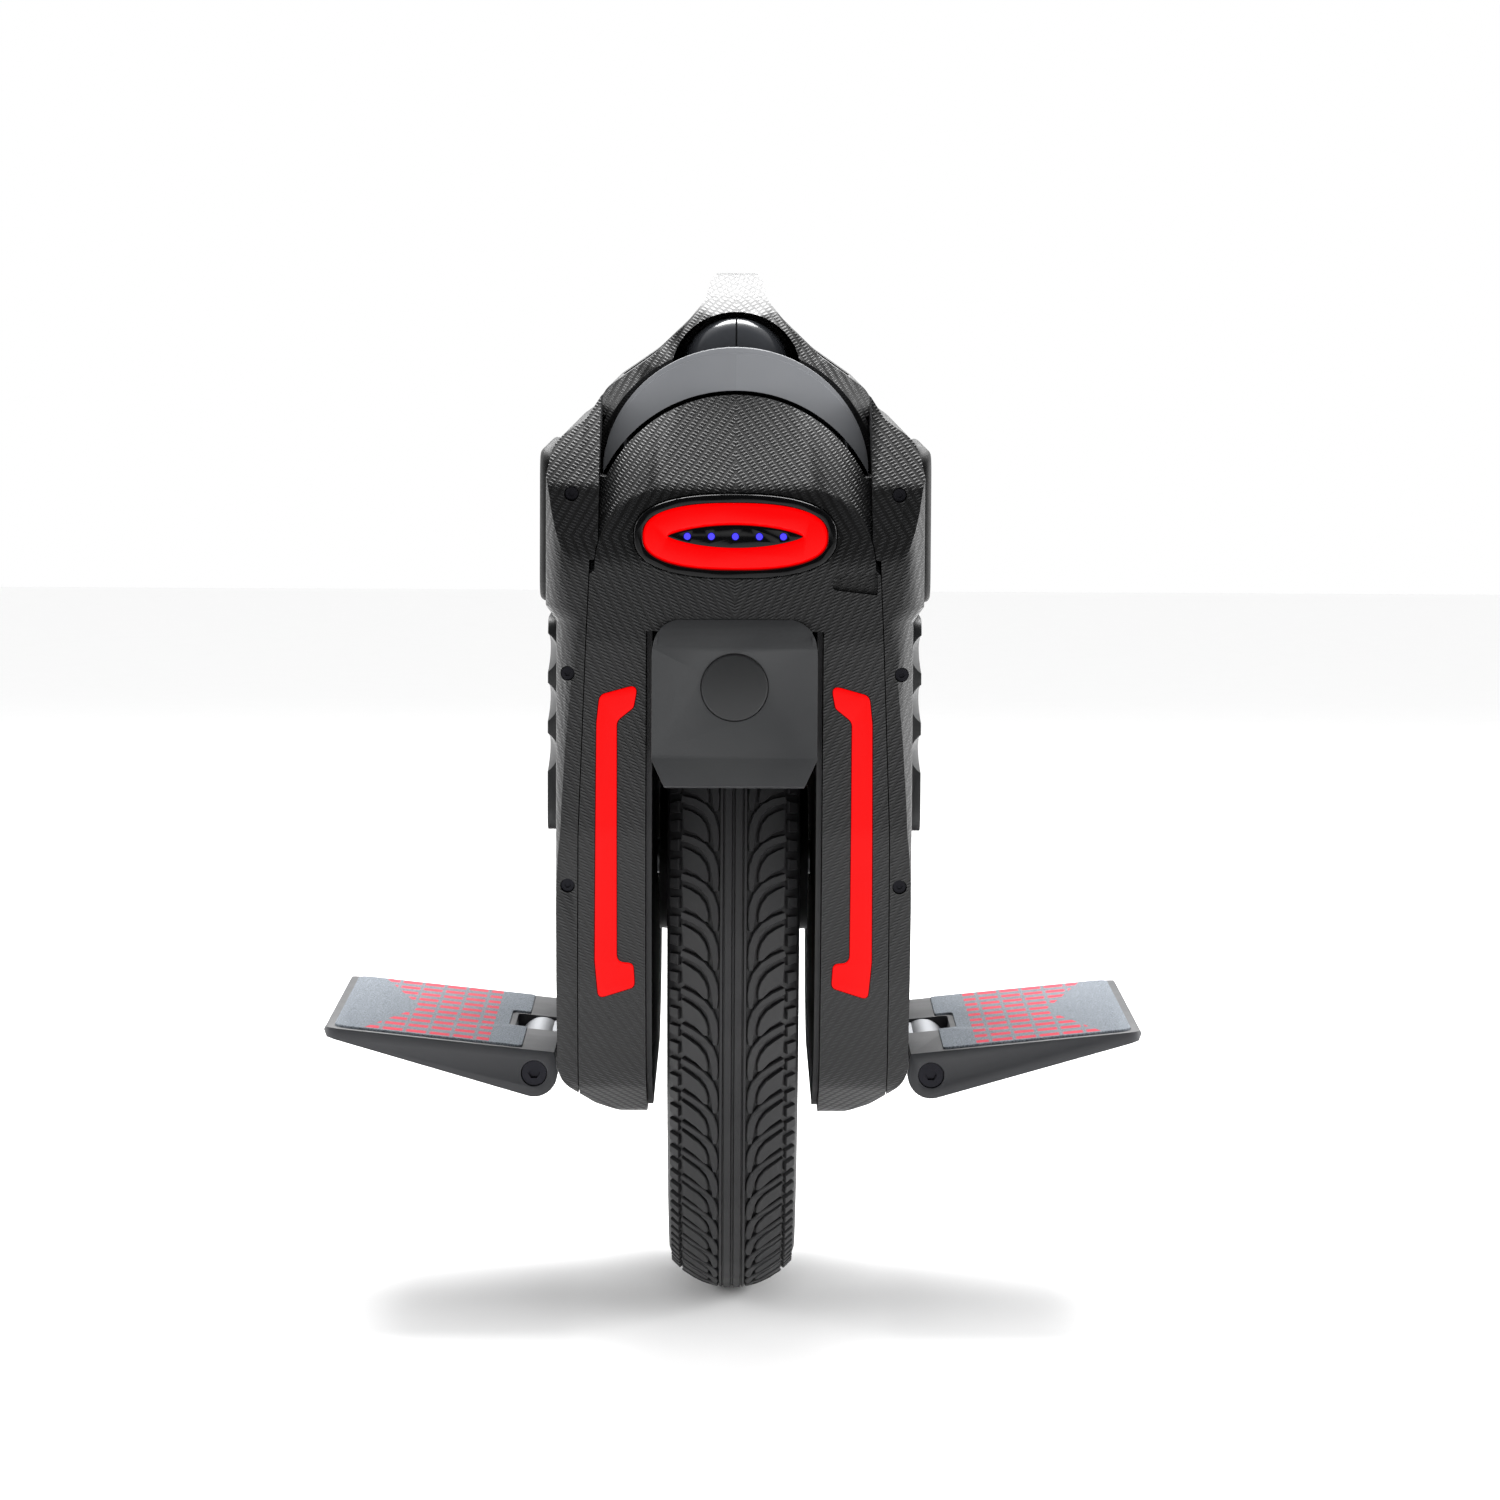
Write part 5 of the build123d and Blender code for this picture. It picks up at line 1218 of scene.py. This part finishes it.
# ---- pedals ------------------------------------------------------------------------
@dataclass
class Pedal:
    """A folding pedal with its sheet of grip tape."""
    pin: Point2 = (97.0, 120.0)
    rise: float = 11.5
    tilt: float = 6.0
    reach: float = 200.0
    half_l: float = 100.0
    tip: float = 5.0

    def deck(self, x: float, lift: float = 0.0) -> float:
        """Height of the open deck at a distance from the middle of the body."""
        return self.pin[1] + self.rise + lift + (x - self.pin[0]) * math.tan(math.radians(self.tilt))

    def build(self, side: Side) -> None:
        """Make and dress one pedal and its tape.

        Args:
            side: Which side of the body.
        """
        sign, word = side.value, side.name.lower()
        x0, z0 = self.pin
        arc = [(x0 + self.rise * math.cos(math.radians(a)), z0 + self.rise * math.sin(math.radians(a)))
               for a in range(-75, -176, -10)]
        profile = [(87, self.deck(87)), (self.reach - 1.0, self.deck(self.reach - 1.0)),
                   (self.reach, self.deck(self.reach) - 1.6), (self.reach - 1.5, self.deck(self.reach) - self.tip)]
        profile = profile + arc
        body = plate(f"pedal_{word}_casting", [(sign * x, z) for x, z in profile], View.REAR, -self.half_l, self.half_l)
        plan = rounded([(80, -self.half_l - 1), (self.reach + 0.5, -self.half_l + 0.01),
                        (self.reach + 0.5, self.half_l - 0.01), (80, self.half_l + 1)], [0, 9, 9, 0], 8)
        combine(body, plate("plan", [(sign * x, y) for x, y in plan], View.TOP, 90, 160), "INTERSECT")
        notch = rounded([(80, -25.4), (109.2, -25.4), (109.2, 25.4), (80, 25.4)], [0, 4, 4, 0], 5)
        cut(body, plate("notch", [(sign * x, y) for x, y in notch], View.TOP, 90, 160))
        for row in (-1, 1):
            for column in range(3):
                pocket = rounded([(118 + column * 25, row * 8), (139 + column * 25, row * 8),
                                  (139 + column * 25, row * 88), (118 + column * 25, row * 88)], [3] * 4, 4)
                tool = plate("pocket", [(sign * x, y) for x, y in pocket], View.TOP, 95, 160)
                for vertex in tool.data.vertices:
                    if vertex.co.z > 0.13:
                        vertex.co.z = self.deck(abs(vertex.co.x) / MM, -3.6) * MM
                cut(body, tool)
        for end in End:
            seat = plate("pin_seat", oval(6.4, 6.4, 2, (sign * x0, z0), 32), View.REAR,
                         *sorted((end.value * 93.8, end.value * 110)))
            cut(body, seat)
        cut(body, plate("pin_bore", oval(4.1, 4.1, 2, (sign * x0, z0), 24), View.REAR, -95, 95))
        round_edges(body, 0.9, 3)
        shade(body)
        dress(body, PEDAL)
        hand_over(body, f"pedal_{word}", "pedal_alloy", f"pedal_{word}")
        self.tape(side)

    def tape(self, side: Side) -> None:
        """The sheet of grip tape, cut round the hanger's slot."""
        sign, word = side.value, side.name.lower()
        corners = [(103, -95), (195, -95), (195, 95), (103, 95), (103, 28), (112, 28), (112, -28), (103, -28)]
        outline = rounded(corners, [3, 8, 8, 3, 1, 4, 4, 1], 6)
        sheet = plate(f"pedal_grip_{word}_tape", [(sign * x, y) for x, y in outline], View.TOP, 0, 1.2)
        for vertex in sheet.data.vertices:
            vertex.co.z += self.deck(abs(vertex.co.x) / MM) * MM
        round_edges(sheet, 0.3, 2)
        shade(sheet)
        dress(sheet, TAPE)
        hand_over(sheet, f"pedal_{word}", "grip_tape", f"pedal_grip_{word}")


# ---- the room ----------------------------------------------------------------------
@dataclass
class Studio:
    """Pale floor, soft light and the camera."""
    eye: Point3 = (0.0, -2.8248, 0.5159)
    pitch: float = 4.968
    roll: float = 0.3
    lens: float = 135.09
    room: float = 0.08

    def build(self) -> None:
        """Make the floor, the lights and the camera."""
        deselect()
        bpy.ops.mesh.primitive_plane_add(size=12, location=(0, 0, -0.0002))
        floor = bpy.context.object
        floor.name = "floor"
        floor.data.materials.append(PAPER.material())
        world = bpy.data.worlds.new("studio")
        bpy.context.scene.world = world
        world.use_nodes = True
        tree = world.node_tree
        back = tree.nodes["Background"]
        back.inputs[0].default_value = linear("#ffffff")
        seen = put(tree, "LightPath")
        ahead = put(tree, "SeparateXYZ", {0: put(tree, "TexCoord").outputs["Generated"]})
        level = put(tree, "MapRange", {"Value": ahead.outputs[1], "From Min": -0.35, "From Max": 0.45,
                                       "To Min": self.room, "To Max": 1.0})
        dim = put(tree, "Math", {0: 1.0, 1: level.outputs[0]}, operation="SUBTRACT")
        level = put(tree, "Math", {0: seen.outputs["Is Glossy Ray"], 1: dim.outputs[0]}, operation="MULTIPLY")
        level = put(tree, "Math", {0: 1.0, 1: level.outputs[0]}, operation="SUBTRACT")
        tree.links.new(level.outputs[0], back.inputs[1])
        self.soft_box("key_above", (0.0, 1.15, 1.9), 1.5, 75)
        self.soft_box("left_bank", (-2.1, 0.25, 0.8), 1.2, 22)
        self.soft_box("right_bank", (2.1, 0.15, 0.8), 1.2, 40)
        bpy.context.scene.view_settings.view_transform = "Standard"
        camera = bpy.data.cameras.new("camera")
        camera.lens = self.lens
        camera.sensor_width = 36
        camera.shift_x = 0.0105
        camera.clip_end = 50
        holder = bpy.data.objects.new("camera", camera)
        bpy.context.scene.collection.objects.link(holder)
        turn = Matrix.Rotation(math.radians(90 - self.pitch), 4, "X") @ Matrix.Rotation(math.radians(self.roll), 4, "Z")
        holder.matrix_world = Matrix.Translation(self.eye) @ turn
        bpy.context.scene.camera = holder

    def soft_box(self, name: str, place: Point3, size: float, power: float) -> None:
        """One square area light, aimed at the middle of the object.

        Args:
            name: The light's name.
            place: Its position in metres.
            size: The side of its square in metres.
            power: Its power in watts.
        """
        light = bpy.data.lights.new(name, "AREA")
        light.size, light.energy = size, power
        holder = bpy.data.objects.new(name, light)
        bpy.context.scene.collection.objects.link(holder)
        holder.location, holder.rotation_mode = place, "QUATERNION"
        holder.rotation_quaternion = (Vector((0, 0, 0.3)) - Vector(place)).to_track_quat("-Z", "Y")


def dress_frame(frame: dict) -> None:
    """Give every CAD node that stays the finish of its material slot."""
    slots = {row["node"]: row["material_slot"] for row in frame["record"]["subparts"]}
    for name, node in frame["nodes"].items():
        if node.hide_render:
            continue
        finish = CAD_FINISHES[slots[name]]
        if not node.data.materials:
            node.data.materials.append(finish.material())
        for index in range(len(node.data.materials)):
            node.data.materials[index] = finish.material()
        log.info("%s keeps its shape, in %s", name, finish.name)


def main() -> None:
    """Build the whole visual model round the frame."""
    logging.basicConfig(level=logging.INFO, format="%(message)s")
    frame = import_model()
    Studio().build()
    shell = Shell()
    shell.build()
    TrolleyGrip().build()
    HandleDome().build()
    Lamps().build(shell.form)
    guard = Mudguard()
    for end in End:
        guard.build(end)
    guard.badges()
    for side in Side:
        FlankTrim().build(side)
        Pedal().build(side)
    Tyre().build()
    dress_frame(frame)


if __name__ == "__main__":
    main()
